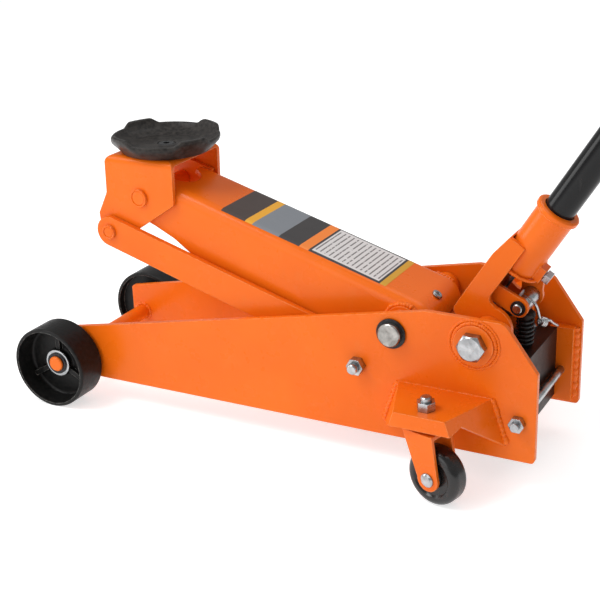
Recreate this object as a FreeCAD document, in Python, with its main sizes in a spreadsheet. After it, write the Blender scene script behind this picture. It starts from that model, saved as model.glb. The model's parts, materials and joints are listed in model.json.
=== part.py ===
"""Hydraulic floor jack, 2.5 t class, as a parametric FreeCAD document in millimetres.

While the pieces are drawn, X = 0 is the front axle, +X runs to the handle, +Y to the right
side and Z = 0 is the floor.  Each sub-part's Placement then moves it so that the origin is
under the middle of the whole jack.
"""
import FreeCAD, Part
import os
import re

import Sketcher
from FreeCAD import Placement, Rotation, Vector

SIZES = {
    # front wheels and axle
    "wheel_radius": 42, "wheel_inner": 70.8, "wheel_outer": 103.6, "wheel_wall": 3.5,
    "web_inner": 78, "web_outer": 82, "hub_radius": 13, "hub_outer": 87, "rib_sheet": 5,
    "axle_radius": 8, "axle_half": 93, "running_gap": 0.05,
    # side plates
    "plate_half": 67.5, "plate_sheet": 5, "plate_nose": -13, "plate_bottom": 24,
    "plate_nose_top": 71, "plate_crown_front": 398, "plate_crown": 157.5,
    "plate_crown_rear": 471, "plate_tail": 502.3, "plate_tail_top": 115.1,
    "plate_tail_bottom": 29.5, "plate_round": 4,
    # lift linkage: arm pivot, arm length and slope, offset of the parallel links
    "arm_pivot_x": 365.4, "arm_pivot_z": 131, "arm_length": 292.5, "arm_slope": 16.73,
    "link_back": 34, "link_down": 37, "link_inner": 44.7, "link_sheet": 5.5, "link_end": 15,
    "link_bolt": 5, "link_pin": 5, "arm_shaft": 11, "arm_shaft_half": 75, "boss_radius": 17,
    "boss_half": 61.5, "clip_sheet": 1.2, "clip_width": 3.2, "groove_depth": 0.9,
    # lift arm
    "arm_sheet": 4.5, "arm_front_half": 37.5, "arm_rear_half": 42.5, "arm_top": 22,
    "arm_bend": 11, "arm_tail": 4, "arm_skirt": 4, "arm_depth": 48, "arm_ear": 22,
    "ear_proud": 0.2, "bracket_pin": 8, "plug_shank": 3.5, "plug_side": -5, "plug_tilt": 21,
    # saddle bracket and saddle
    "bracket_half": 43, "bracket_sheet": 4.5, "bracket_top": 254, "bracket_front": 47,
    "bracket_rear": 125, "bracket_bend": 7, "saddle_x": 91.2, "saddle_radius": 54.5,
    "saddle_foot": 44, "saddle_rim": 269, "saddle_lug": 273.5, "saddle_floor": 260.5,
    "lug_turn": 64, "lug_angle": 45, "stem_radius": 5,
    # hydraulic unit
    "block_front": 440, "block_rear": 481, "block_half": 52.4, "block_bottom": 40,
    "block_top": 110, "ram_z": 93.4, "ram_radius": 10, "cylinder_radius": 18,
    "cylinder_bore": 14, "cylinder_front": 402, "cylinder_rear": 456, "tank_radius": 27,
    "tank_wall": 3, "tank_front": 404, "lever_x": 367.1, "lever_z": 91, "lever_pin": 7,
    "lever_inner": 15, "lever_outer": 22, "lever_end": 12, "crosshead_half": 14,
    "crosshead_reach": 13.65, "crosshead_low": 76, "crosshead_high": 110,
    "piston_head": 429, "piston_rear": 435, "spring_bar": 19.1, "spring_line": 32.5,
    "spring_radius": 4, "spring_wire": 1.6, "plunger_x": 467, "plunger_radius": 6,
    "plunger_top": 143.4, "plunger_head": 4, "plunger_bottom": 85, "plunger_seat": 55,
    "valve_seat_half": 10, "valve_seat_rear": 456, "valve_seat_top": 119, "valve_stem": 3,
    "valve_ball": 6, "filler_x": 459, "filler_y": 40, "filler_shank": 3,
    # mounting of the unit between the plates
    "bar_inner": 52.5, "bar_front": 474, "bar_rear": 497, "bar_bottom": 36, "bar_top": 110,
    "tie_x": 486, "tie_z": 67, "tie_radius": 4,
    # pump handle socket, drawn along its own axis from a foot point ahead of its pivot
    "yoke_pivot_x": 444, "yoke_pivot_z": 134, "yoke_offset": 15, "handle_slope": 58,
    "yoke_bolt": 8, "yoke_half": 31, "yoke_sheet": 5, "yoke_front": 22.5, "yoke_round": 21,
    "yoke_top": 78, "yoke_top_half": 19.5, "yoke_knee": 20,
    "yoke_bend": 120, "socket_radius": 18, "socket_bore": 14.6,
    "socket_low": 50, "socket_high": 119.5, "roller_behind": 23.6, "roller_along": 28.9,
    "roller_radius": 8.5, "roller_half": 15, "ear_inner": 15.5, "ear_sheet": 4,
    "ear_round": 11, "strap_round": 9, "pin_radius": 4.5, "lock_along": 60.7, "lock_pad": 7,
    "lock_shank": 4,
    # handle
    "handle_radius": 14, "handle_wall": 2, "handle_low": 54, "joint_along": 560,
    "neck_length": 60, "button_along": 530, "button_radius": 4, "grip_radius": 17,
    "grip_low": 865, "handle_high": 1000, "grip_cap": 3,
    # casters
    "caster_x": 417, "caster_half": 109.5, "caster_radius": 27, "caster_width": 20,
    "caster_trail": 13, "caster_turn": 15, "bracket_plate_top": 85.5, "bracket_plate": 4,
    "cheek_top_half": 45, "cheek_foot_half": 59, "cheek_foot": 42, "lip_half": 24,
    "notch_along": 0.72, "notch_drop": 0.45,
    "lip_side": 126, "lip_share": 0.32, "fork_top": 68.5, "fork_inner": 11.5, "fork_sheet": 3,
    "fork_half": 15, "fork_end": 11, "race_radius": 12, "stud_nut": 15,
    "stud_radius": 5, "stud_top": 98,
    "caster_axle": 4,
}

SIDES = {"left": -1, "right": 1}
X_AXIS = Vector(1, 0, 0)
Y_AXIS = Vector(0, 1, 0)
Z_AXIS = Vector(0, 0, 1)
HEX_CORNER = 0.57735       # corner radius of a hexagon over its width across flats

doc = FreeCAD.newDocument("FloorJack")
dims = doc.addObject("Spreadsheet::Sheet", "Dims")
for row, (alias, size) in enumerate(SIZES.items(), 1):
    dims.set(f"A{row}", alias)
    dims.set(f"B{row}", str(size))
    dims.setAlias(f"B{row}", alias)
doc.recompute()

SUBPARTS = []
CHASSIS_NUTS = []
BASE_X = {}


# ---------------------------------------------------------------- sizes and expressions
def bound(size):
    """Writes a size, a number or a sum of sheet names, as an expression on the sheet."""
    def cell(word):
        return f"Dims.{word.group()}" if word.group() in SIZES else word.group()
    return re.sub(r"[a-z]\w*", cell, str(size))


def number(size):
    """Gives the value that a size has now."""
    result = dims.evalExpression(bound(size))
    return float(getattr(result, "Value", result))


def bind(thing, name, size):
    thing.setExpression(name, bound(size))


def point(x, y, z):
    return Vector(number(x), number(y), number(z))


def place(thing, base, rotation):
    """Puts a piece at a base point that stays bound to the sheet."""
    thing.Placement = Placement(point(*base), rotation)
    for axis, size in zip("xyz", base):
        bind(thing, f"Placement.Base.{axis}", size)
    BASE_X[thing.Name] = base[0]
    return thing


ORIGIN_X = ("((yoke_pivot_x - yoke_offset * sin(handle_slope * 1 deg)"
            " + (handle_high + grip_cap) * cos(handle_slope * 1 deg)"
            " + grip_radius * sin(handle_slope * 1 deg)) - wheel_radius) / 2")


def subpart(label, thing):
    """Names a finished sub-part and moves it to the jack's own origin."""
    thing.Label = label
    bind(thing, "Placement.Base.x", f"{BASE_X.get(thing.Name, 0)} - ({ORIGIN_X})")
    SUBPARTS.append(thing)


# ---------------------------------------------------------------- building blocks
def rod(name, radius, length, base, direction=Z_AXIS):
    """A solid cylinder that starts at base and runs along direction."""
    thing = doc.addObject("Part::Cylinder", name)
    bind(thing, "Radius", radius)
    bind(thing, "Height", length)
    return place(thing, base, Rotation(Z_AXIS, direction))


def across(name, radius, half, x, z):
    """A solid cylinder that runs across the jack, from -half to +half."""
    return rod(name, radius, f"2 * ({half})", (x, f"-({half})", z), Y_AXIS)


def outward(name, radius, inner, outer, x, z, side):
    """A solid cylinder on one side of the jack, from inner out to outer."""
    return rod(name, radius, f"({outer}) - ({inner})", (x, f"{side} * ({inner})", z),
               Y_AXIS * side)


def box(name, low, high):
    """A block between two opposite corners."""
    thing = doc.addObject("Part::Box", name)
    for side, start, end in zip(("Length", "Width", "Height"), low, high):
        bind(thing, side, f"({end}) - ({start})")
    return place(thing, low, Rotation())


def hexagon(name, width, height, base, direction):
    """A hexagonal head or nut, width across its flats."""
    thing = doc.addObject("Part::Prism", name)
    thing.Polygon = 6
    bind(thing, "Circumradius", f"({width}) * {HEX_CORNER}")
    bind(thing, "Height", height)
    return place(thing, base, Rotation(Z_AXIS, direction))


def fuse(name, *pieces, refine=True):
    thing = doc.addObject("Part::MultiFuse", name)
    thing.Shapes = list(pieces)
    thing.Refine = refine
    return thing


def cut(name, base, *tools, refine=True):
    thing = doc.addObject("Part::Cut", name)
    thing.Refine = refine
    thing.Base = base
    thing.Tool = tools[0] if len(tools) == 1 else fuse(f"{name}Tools", *tools)
    return thing


def group(name, *pieces):
    """Several separate solids in one sub-part."""
    thing = doc.addObject("Part::Compound", name)
    thing.Links = list(pieces)
    return thing


def sketch_on(body, role, outline):
    """A closed outline, each corner held by two dimensions, on one of a body's planes."""
    sketch = body.newObject("Sketcher::SketchObject", f"{body.Name}Sketch")
    plane = next(item for item in body.Origin.OriginFeatures if item.Role == role)
    sketch.AttachmentSupport = [(plane, "")]
    sketch.MapMode = "FlatFace"
    corners = [Vector(number(u), number(v), 0) for u, v in outline]
    for start, end in zip(corners, corners[1:] + corners[:1]):
        sketch.addGeometry(Part.LineSegment(start, end), False)
    for index, corner in enumerate(outline):
        before = (index - 1) % len(outline)
        sketch.addConstraint(Sketcher.Constraint("Coincident", before, 2, index, 1))
        for kind, size in zip(("DistanceX", "DistanceY"), corner):
            held = sketch.addConstraint(Sketcher.Constraint(kind, -1, 1, index, 1, number(size)))
            bind(sketch, f"Constraints[{held}]", size)
    return sketch


def soften(body, feature, radius, chosen):
    """Rounds the edges of a body's newest feature for which chosen(edge) is true."""
    doc.recompute()
    names = [f"Edge{index}" for index, edge in enumerate(feature.Shape.Edges, 1) if chosen(edge)]
    if not names:
        raise RuntimeError(f"{body.Name}: no edge to round")
    fillet = body.newObject("PartDesign::Fillet", f"{body.Name}Fillet")
    fillet.Base = (feature, names)
    bind(fillet, "Radius", radius)
    return fillet


def upright_edge(x, z):
    """Chooses an edge that runs straight across at x, z."""
    spot = point(x, 0, z)

    def chosen(edge):
        ends = [vertex.Point for vertex in edge.Vertexes]
        return len(ends) == 2 and all(
            abs(end.x - spot.x) < 0.01 and abs(end.z - spot.z) < 0.01 for end in ends)
    return chosen


def slab(name, outline, inner, outer, side=None, rounds=()):
    """A plate drawn in X and Z; it fills inner to outer on one side, or -outer to +outer."""
    body = doc.addObject("PartDesign::Body", name)
    pad = body.newObject("PartDesign::Pad", f"{name}Pad")
    pad.Profile = sketch_on(body, "XZ_Plane", outline)
    pad.SideType = "Symmetric"
    bind(pad, "Length", f"2 * ({outer})" if side is None else f"({outer}) - ({inner})")
    feature = pad
    for radius, corners in rounds:
        for corner in corners:
            feature = soften(body, feature, radius, upright_edge(*outline[corner]))
    middle = "0" if side is None else f"{side} * (({outer}) + ({inner})) / 2"
    return place(body, ("0", middle, "0"), Rotation())


def ring_edge(radius, along):
    """Chooses a circle of a turned piece by its radius and its distance along the axis."""
    def chosen(edge):
        curve = edge.Curve
        return (isinstance(curve, Part.Circle) and abs(curve.Radius - number(radius)) < 0.01
                and abs(curve.Center.z - number(along)) < 0.01)
    return chosen


def turned(name, profile, base, direction=Z_AXIS, rounds=()):
    """A turned piece; its profile is (radius, distance along the axis) pairs."""
    body = doc.addObject("PartDesign::Body", name)
    sketch = sketch_on(body, "XZ_Plane", profile)
    feature = body.newObject("PartDesign::Revolution", f"{name}Turn")
    feature.Profile = sketch
    feature.ReferenceAxis = (sketch, ["V_Axis"])
    feature.Angle = 360
    for radius, corners in rounds:
        for corner in corners:
            feature = soften(body, feature, radius, ring_edge(*profile[corner]))
    return place(body, base, Rotation(Z_AXIS, direction))


def panel(name, corners, thickness, direction):
    """A flat sheet: a polygon in space, thickened along direction."""
    outline = doc.addObject("Part::Polygon", f"{name}Outline")
    outline.Nodes = [point(*corner) for corner in corners]
    outline.Close = True
    sheet = doc.addObject("Part::Extrusion", name)
    sheet.Base = outline
    sheet.DirMode = "Custom"
    sheet.Dir = direction
    sheet.Solid = True
    bind(sheet, "LengthFwd", thickness)
    return sheet


def tube(name, outer, bore, length, base, direction=Z_AXIS):
    hole = rod(f"{name}Bore", bore, length, base, direction)
    return cut(name, rod(f"{name}Outer", outer, length, base, direction), hole)


def sleeve(name, outer, bore, start, end, x, z, side):
    """A tube on one side of the jack, from start out to end."""
    return tube(name, outer, bore, f"({end}) - ({start})", (x, f"{side} * ({start})", z),
                Y_AXIS * side)


def grooved_shaft(name, radius, half, groove, x, z):
    """A shaft across the jack with chamfered ends and a circlip groove near each end."""
    neck = f"{radius} - groove_depth"
    profile = [("0", f"-({half})"), (f"{radius} - 1", f"-({half})"), (radius, f"1 - ({half})"),
               (radius, f"-({groove}) - clip_sheet"), (neck, f"-({groove}) - clip_sheet"),
               (neck, f"-({groove})"), (radius, f"-({groove})")]
    mirrored = [(r, f"-({along})") for r, along in reversed(profile)]
    return turned(name, profile + mirrored, (x, "0", z), Y_AXIS)


def circlip(name, radius, groove, x, z, side):
    """A spring ring with an open mouth, seated in a shaft's groove."""
    ring = sleeve(name, f"{radius} + clip_width", f"{radius} - groove_depth + running_gap",
                  f"{groove} + 0.05", f"{groove} + clip_sheet - 0.05", x, z, side)
    mouth = box(f"{name}Mouth", (x, f"{side} * {groove} - 3", f"{z} - 2.5"),
                (f"{x} + 20", f"{side} * {groove} + 3", f"{z} + 2.5"))
    return cut(f"{name}Ring", ring, mouth)


# ---------------------------------------------------------------- places worked out
ARM_COS = "cos(arm_slope * 1 deg)"
ARM_SIN = "sin(arm_slope * 1 deg)"
BRACKET_PIVOT = (f"(arm_pivot_x - arm_length * {ARM_COS})",
                 f"(arm_pivot_z + arm_length * {ARM_SIN})")
LINK_REAR = ("(arm_pivot_x - link_back)", "(arm_pivot_z - link_down)")
LINK_FRONT = (f"({BRACKET_PIVOT[0]} - link_back)", f"({BRACKET_PIVOT[1]} - link_down)")
PLATE_INNER = "plate_half - plate_sheet"
LINK_OUTER = "link_inner + link_sheet"
HANDLE_TURN = Rotation(Y_AXIS, 90 - number("handle_slope"))
ARM_TURN = Rotation(Y_AXIS, number("arm_slope"))
HANDLE_FOOT = ("yoke_pivot_x - yoke_offset * sin(handle_slope * 1 deg)", "0",
               "yoke_pivot_z + yoke_offset * cos(handle_slope * 1 deg)")


def along_arm(reach, rise):
    """A point reach from the arm's pivot towards the saddle and rise above that line."""
    return (f"arm_pivot_x - ({reach}) * {ARM_COS} + ({rise}) * {ARM_SIN}",
            f"arm_pivot_z + ({reach}) * {ARM_SIN} + ({rise}) * {ARM_COS}")


def on_handle(thing):
    """Moves a piece drawn about the handle's own axis to its place."""
    return place(thing, HANDLE_FOOT, HANDLE_TURN)


# ---------------------------------------------------------------- chassis
def make_side_plates():
    outline = [("plate_nose", "plate_bottom"), ("plate_nose", "plate_nose_top"),
               ("plate_crown_front", "plate_crown"), ("plate_crown_rear", "plate_crown"),
               ("plate_tail", "plate_tail_top"), ("plate_tail", "plate_tail_bottom")]
    gap = "running_gap"
    holes = [across("AxleHole", f"axle_radius + {gap}", "plate_half + 5", "0", "wheel_radius"),
             across("ArmShaftHole", f"arm_shaft + {gap}", "plate_half + 5", "arm_pivot_x",
                    "arm_pivot_z"),
             across("YokeBoltHole", f"yoke_bolt + {gap}", "plate_half + 5", "yoke_pivot_x",
                    "yoke_pivot_z"),
             across("LinkBoltHole", f"link_bolt + {gap}", "plate_half + 5", *LINK_REAR),
             across("TieRodHole", f"tie_radius + {gap}", "plate_half + 5", "tie_x", "tie_z")]
    rounds = [("plate_round", (0, 1, 4, 5)), ("3 * plate_round", (3,))]
    for name, side in SIDES.items():
        blank = slab(f"PlateBlank_{name}", outline, PLATE_INNER, "plate_half", side, rounds)
        subpart(f"side_plate_{name}", cut(f"SidePlate_{name}", blank, *holes))


def make_front_axle():
    groove = "hub_outer + 2.4"
    subpart("front_axle", grooved_shaft("FrontAxle", "axle_radius", "axle_half", groove, "0",
                                        "wheel_radius"))
    washers = [sleeve(f"AxleWasher_{name}", "14", "axle_radius + running_gap", "hub_outer + 0.2",
                      "hub_outer + 2.2", "0", "wheel_radius", side)
               for name, side in SIDES.items()]
    subpart("axle_washers", group("AxleWashers", *washers))


def make_circlips():
    rings = []
    for name, side in SIDES.items():
        rings.append(circlip(f"AxleClip_{name}", "axle_radius", "hub_outer + 2.4", "0",
                             "wheel_radius", side))
        rings.append(circlip(f"ShaftClip_{name}", "arm_shaft", "plate_half + 1", "arm_pivot_x",
                             "arm_pivot_z", side))
    subpart("shaft_circlips", group("ShaftCirclips", *rings))


def make_arm_pivot_shaft():
    subpart("arm_pivot_shaft", grooved_shaft("ArmPivotShaft", "arm_shaft", "arm_shaft_half",
                                             "plate_half + 1", "arm_pivot_x", "arm_pivot_z"))


def make_unit_mount_bars():
    hole = across("BarTieHole", "tie_radius + running_gap", "plate_half", "tie_x", "tie_z")
    for name, side in SIDES.items():
        outline = [("bar_front", "bar_bottom"), ("bar_front", "bar_top"),
                   ("bar_rear", "bar_top"), ("bar_rear", "bar_bottom")]
        bar = slab(f"MountBarBlank_{name}", outline, "bar_inner", PLATE_INNER, side)
        subpart(f"unit_mount_bar_{name}", cut(f"MountBar_{name}", bar, hole))


def make_tie_rod():
    subpart("tie_rod", across("TieRod", "tie_radius", "plate_half + 11", "tie_x", "tie_z"))
    for name, side in SIDES.items():
        blank = hexagon(f"TieNutBlank_{name}", "13", "6.5",
                        ("tie_x", f"{side} * (plate_half + 0.1)", "tie_z"), Y_AXIS * side)
        bore = outward(f"TieNutBore_{name}", "tie_radius + 0.02", "plate_half - 1",
                       "plate_half + 9", "tie_x", "tie_z", side)
        CHASSIS_NUTS.append(cut(f"TieNut_{name}", blank, bore))


def make_link_bolts():
    bolts = []
    spacers = []
    for name, side in SIDES.items():
        head = "link_bolt + 4"
        profile = [("0", "0"), (head, "0"), (head, "0.5"), ("link_bolt", "4"),
                   ("link_bolt", "36"), ("link_bolt - 1", "37"), ("0", "37")]
        bolts.append(turned(f"LinkBolt_{name}", profile,
                            (LINK_REAR[0], f"{side} * (link_inner + 0.1)", LINK_REAR[1]),
                            Y_AXIS * side))
        blank = hexagon(f"LinkNutBlank_{name}", "14.5", "8",
                        (LINK_REAR[0], f"{side} * (plate_half + 0.1)", LINK_REAR[1]),
                        Y_AXIS * side)
        bore = outward(f"LinkNutBore_{name}", "link_bolt + 0.02", "plate_half - 1",
                       "plate_half + 10", *LINK_REAR, side)
        CHASSIS_NUTS.append(cut(f"LinkNut_{name}", blank, bore))
        spacers.append(sleeve(f"LinkSpacer_{name}", "9", "link_bolt + running_gap",
                              f"{LINK_OUTER} + 0.3", f"{PLATE_INNER} - 0.05", *LINK_REAR, side))
        spacers.append(sleeve(f"YokeSpacer_{name}", "13", "yoke_bolt + running_gap",
                              "yoke_half + 0.4", f"{PLATE_INNER} - 0.05", "yoke_pivot_x",
                              "yoke_pivot_z", side))
        spacers.append(sleeve(f"AxleSpacer_{name}", "12", "axle_radius + running_gap",
                              "plate_half + 0.05", "wheel_inner - 0.1", "0", "wheel_radius", side))
    subpart("link_pivot_bolts", group("LinkPivotBolts", *bolts))
    subpart("chassis_nuts", group("ChassisNuts", *CHASSIS_NUTS))
    subpart("pivot_spacers", group("PivotSpacers", *spacers))


def make_yoke_pivots():
    bosses = []
    bolts = []
    for name, side in SIDES.items():
        bosses.append(sleeve(f"YokeBoss_{name}", "18.5", "yoke_bolt + running_gap",
                             "plate_half + 0.02", "plate_half + 3.2", "yoke_pivot_x",
                             "yoke_pivot_z", side))
        face = "plate_half + 3.3"
        head = hexagon(f"YokeBoltHead_{name}", "23", "9",
                       ("yoke_pivot_x", f"{side} * ({face})", "yoke_pivot_z"), Y_AXIS * side)
        crown = turned(f"YokeBoltCrown_{name}", [("0", "0"), ("14", "0"), ("14", "6"),
                                                 ("10.5", "9"), ("0", "9")],
                       ("yoke_pivot_x", f"{side} * ({face})", "yoke_pivot_z"), Y_AXIS * side)
        chamfered = doc.addObject("Part::Common", f"YokeBoltCrowned_{name}")
        chamfered.Base = head
        chamfered.Tool = crown
        shank = outward(f"YokeBoltShank_{name}", "yoke_bolt", "yoke_half - 8", f"{face} + 1",
                        "yoke_pivot_x", "yoke_pivot_z", side)
        bolts.append(fuse(f"YokeBolt_{name}", chamfered, shank))
    subpart("yoke_pivot_bosses", group("YokePivotBosses", *bosses))
    subpart("yoke_pivot_bolts", group("YokePivotBolts", *bolts))


def clearance_notch(top_root, low_root, low_lip, top_lip):
    """The point where a cheek's lower edge is cut up, to let the caster swing under it."""
    def between(start, end, share):
        return tuple(f"({a}) + {share} * (({b}) - ({a}))" for a, b in zip(start, end))

    return between(between(top_root, top_lip, "notch_along"),
                   between(low_root, low_lip, "notch_along"), "notch_drop")


def make_caster_brackets():
    """Pressed hoods: a flat top, two splayed cheeks and a turned-down lip."""
    top = "bracket_plate_top"
    drop = f"({top} - cheek_foot)"
    splay = "(cheek_foot_half - cheek_top_half)"
    lip_low_half = f"(lip_half + lip_share * {splay})"
    for name, side in SIDES.items():
        root = f"{side} * plate_half"
        lip = f"{side} * lip_side"
        sheets = [panel(f"CasterTop_{name}",
                        [(f"caster_x + {end} * cheek_top_half", root, top) for end in (-1, 1)]
                        + [(f"caster_x + {end} * lip_half", lip, top) for end in (1, -1)],
                        "bracket_plate", Vector(0, 0, -1))]
        for end, word in ((-1, "front"), (1, "rear")):
            corners = [(f"caster_x + {end} * cheek_top_half", root, top),
                       (f"caster_x + {end} * cheek_foot_half", root, "cheek_foot"),
                       (f"caster_x + {end} * {lip_low_half}", lip, f"{top} - lip_share * {drop}"),
                       (f"caster_x + {end} * lip_half", lip, top)]
            spots = [point(*corner) for corner in corners]
            if word == "rear":
                corners.insert(2, clearance_notch(*corners))
            normal = (spots[1] - spots[0]).cross(spots[3] - spots[0]).normalize()
            inward = normal if normal.x * end < 0 else normal * -1
            sheets.append(panel(f"CasterCheek_{name}_{word}", corners, "bracket_plate", inward))
        low = f"{top} - lip_share * {drop}"
        sheets.append(panel(f"CasterLip_{name}",
                            [(f"caster_x - {lip_low_half}", lip, low),
                             ("caster_x - lip_half", lip, top), ("caster_x + lip_half", lip, top),
                             (f"caster_x + {lip_low_half}", lip, low)],
                            "bracket_plate", Vector(0, -side, 0)))
        hood = fuse(f"CasterHood_{name}", *sheets)
        stud_hole = rod(f"CasterStudHole_{name}", "stud_radius + running_gap", "20",
                        ("caster_x", f"{side} * caster_half", f"{top} - 10"))
        inside = ("plate_half - 70", "plate_half") if side > 0 else ("-plate_half", "70 - plate_half")
        behind_plate = box(f"CasterTrim_{name}", ("caster_x - 80", inside[0], "20"),
                           ("caster_x + 80", inside[1], "100"))
        subpart(f"caster_bracket_{name}",
                cut(f"CasterBracket_{name}", hood, stud_hole, behind_plate))


def make_caster_studs():
    """Kingpin with its head under the fork, a swivel race, and a nut on the bracket."""
    studs = []
    nuts = []
    underside = "(bracket_plate_top - bracket_plate)"
    fork_inside = "(fork_top - fork_sheet)"
    profile = [("0", f"{fork_inside} - 5"), ("9", f"{fork_inside} - 5"),
               ("9", f"{fork_inside} - 0.3"), ("stud_radius", f"{fork_inside} - 0.3"),
               ("stud_radius", "fork_top + 0.3"), ("race_radius - 2", "fork_top + 0.3"),
               ("race_radius", "fork_top + 2"), ("race_radius", f"{underside} - 2"),
               ("race_radius - 2", f"{underside} - 0.02"), ("stud_radius", f"{underside} - 0.02"),
               ("stud_radius", "stud_top - 1"), ("stud_radius - 1", "stud_top"), ("0", "stud_top")]
    for name, side in SIDES.items():
        centre = f"{side} * caster_half"
        studs.append(turned(f"CasterStud_{name}", profile, ("caster_x", centre, "0")))
        blank = hexagon(f"CasterNutBlank_{name}", "stud_nut", "8",
                        ("caster_x", centre, "bracket_plate_top + 0.05"), Z_AXIS)
        bore = rod(f"CasterNutBore_{name}", "stud_radius + 0.02", "20",
                   ("caster_x", centre, "bracket_plate_top - 5"))
        nuts.append(cut(f"CasterNut_{name}", blank, bore))
    subpart("caster_studs", group("CasterStuds", *studs))
    subpart("caster_nuts", group("CasterNuts", *nuts))


# ---------------------------------------------------------------- hydraulic unit
def make_pump_block():
    """Cast block that spans the mounting bars, with a raised seat for the release valve."""
    top = "block_top"
    core = box("BlockCore", ("block_front", "-block_half", "block_bottom"),
               ("block_rear", "block_half", top))
    seat = box("ValveBoss", ("block_front", "-valve_seat_half", f"{top} - 1"),
               ("valve_seat_rear", "valve_seat_half", "valve_seat_top"))
    holes = [rod("CylinderSeat", "cylinder_radius + running_gap",
                 "cylinder_rear - block_front + 10.2", ("block_front - 10", "0", "ram_z"), X_AXIS),
             rod("PlungerBore", "plunger_radius + 0.06", f"{top} - plunger_seat + 5",
                 ("plunger_x", "0", "plunger_seat")),
             rod("ValveBore", "valve_stem + 0.06", "20",
                 ("yoke_pivot_x", "0", "valve_seat_top - 7")),
             rod("FillerHole", "filler_shank + 0.05", "20", ("filler_x", "filler_y", f"{top} - 6"))]
    subpart("pump_block", cut("PumpBlock", fuse("BlockBlank", core, seat), *holes))


def make_reservoir():
    """Oil tank around the ram cylinder, and the filler plug on the block's top."""
    length = "(block_front - tank_front - 0.05)"
    inner = "tank_radius - tank_wall"
    profile = [("cylinder_radius + 0.1", "0"), ("tank_radius - 3", "0"), ("tank_radius", "3"),
               ("tank_radius", length), (inner, length), (inner, "4"), ("cylinder_radius + 0.1", "4")]
    subpart("reservoir_tube",
            turned("ReservoirTube", profile, ("tank_front", "0", "ram_z"), X_AXIS))
    head = "filler_shank + 3.5"
    plug = [("0", "-5"), ("filler_shank", "-5"), ("filler_shank", "0"), (head, "0"), (head, "3.5"),
            (f"{head} - 1.5", "5"), ("0", "5")]
    subpart("filler_plug",
            turned("FillerPlug", plug, ("filler_x", "filler_y", "block_top + 0.05")))


def make_ram_cylinder():
    length = "(cylinder_rear - cylinder_front)"
    bore = "ram_radius + 0.06"
    profile = [(bore, "0"), ("cylinder_radius - 1", "0"), ("cylinder_radius", "1"),
               ("cylinder_radius", length), ("0", length), ("0", f"{length} - 3"),
               ("cylinder_bore", f"{length} - 3"), ("cylinder_bore", "5"), (bore, "5")]
    subpart("ram_cylinder", turned("RamCylinder", profile, ("cylinder_front", "0", "ram_z"), X_AXIS))


def make_ram():
    """Ram, the slotted crosshead that turns its slide into the lever's swing, and its springs."""
    start = "(lever_x + crosshead_reach + 0.05)"
    head, rear = f"piston_head - {start}", f"piston_rear - {start}"
    profile = [("0", "0"), ("ram_radius", "0"), ("ram_radius", head),
               ("cylinder_bore - 0.06", head), ("cylinder_bore - 0.06", rear), ("0", rear)]
    subpart("ram_piston", turned("RamPiston", profile, (start, "0", "ram_z"), X_AXIS))
    bar_low, bar_high = "ram_z - 8.4", "ram_z + 2.6"
    blank = box("CrossheadBlank", ("lever_x - crosshead_reach", "-crosshead_half", "crosshead_low"),
                ("lever_x + crosshead_reach", "crosshead_half", "crosshead_high"))
    tongue = box("CrossheadTongue", ("lever_x - spring_bar - 1", "-12", bar_low),
                 ("lever_x - crosshead_reach + 0.5", "12", bar_high))
    bar = box("CrossheadBar", ("lever_x - spring_bar - 4", "-spring_line - 2.5", bar_low),
              ("lever_x - spring_bar", "spring_line + 2.5", bar_high))
    slot = box("CrossheadSlot", ("lever_x - lever_pin - 0.7", "-20", "lever_z - lever_pin - 0.8"),
               ("lever_x + lever_pin + 0.7", "20", "lever_z + lever_pin + 5.7"))
    subpart("ram_crosshead", cut("RamCrosshead", fuse("CrossheadBody", blank, tongue, bar), slot))
    spring_front = "(lever_x - spring_bar + 0.1)"
    springs = [tube(f"ReturnSpring_{name}", "spring_radius", "spring_radius - spring_wire",
                    f"block_front - {spring_front} - 0.1",
                    (spring_front, f"{side} * spring_line", "ram_z - 2.9"), X_AXIS)
               for name, side in SIDES.items()]
    subpart("return_springs", group("ReturnSprings", *springs))


def make_plunger():
    """Pump plunger with a mushroom head under the roller, and the spring that lifts it."""
    height = "(plunger_top - plunger_bottom)"
    head = "plunger_radius + 3"
    profile = [("0", "0"), ("plunger_radius - 1", "0"), ("plunger_radius", "1"),
               ("plunger_radius", f"{height} - plunger_head"), (head, f"{height} - plunger_head"),
               (head, f"{height} - 1"), (f"{head} - 1", height), ("0", height)]
    subpart("pump_plunger", turned("PumpPlunger", profile, ("plunger_x", "0", "plunger_bottom")))
    subpart("plunger_spring",
            tube("PlungerSpring", f"{head} - 0.4", f"{head} - 2.4",
                 "plunger_top - plunger_head - block_top - 0.2",
                 ("plunger_x", "0", "block_top + 0.1")))


def make_release_valve():
    """Release spindle; its ball lies on the yoke's own pivot axis."""
    neck = "(valve_stem + 0.8)"
    top = "valve_seat_top"
    profile = [("0", f"{top} - 6.7"), ("valve_stem", f"{top} - 6.7"), ("valve_stem", f"{top} + 0.3"),
               (neck, f"{top} + 0.3"), (neck, f"{top} + 3"), ("valve_stem", f"{top} + 4"),
               ("valve_stem", f"{top} + 11"), ("0", f"{top} + 11")]
    stem = turned("ReleaseStem", profile, ("yoke_pivot_x", "0", "0"))
    ball = doc.addObject("Part::Sphere", "ReleaseBall")
    bind(ball, "Radius", "valve_ball")
    place(ball, ("yoke_pivot_x", "0", "yoke_pivot_z"), Rotation())
    subpart("release_spindle", fuse("ReleaseSpindle", stem, ball))


# ---------------------------------------------------------------- lifting linkage
def rounded(name, base, radius, chosen):
    """Rounds chosen edges of a solid that is not a body."""
    doc.recompute()
    fillet = doc.addObject("Part::Fillet", name)
    fillet.Base = base
    fillet.Edges = [(index, number(radius), number(radius))
                    for index, edge in enumerate(base.Shape.Edges, 1) if chosen(edge)]
    return fillet


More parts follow.
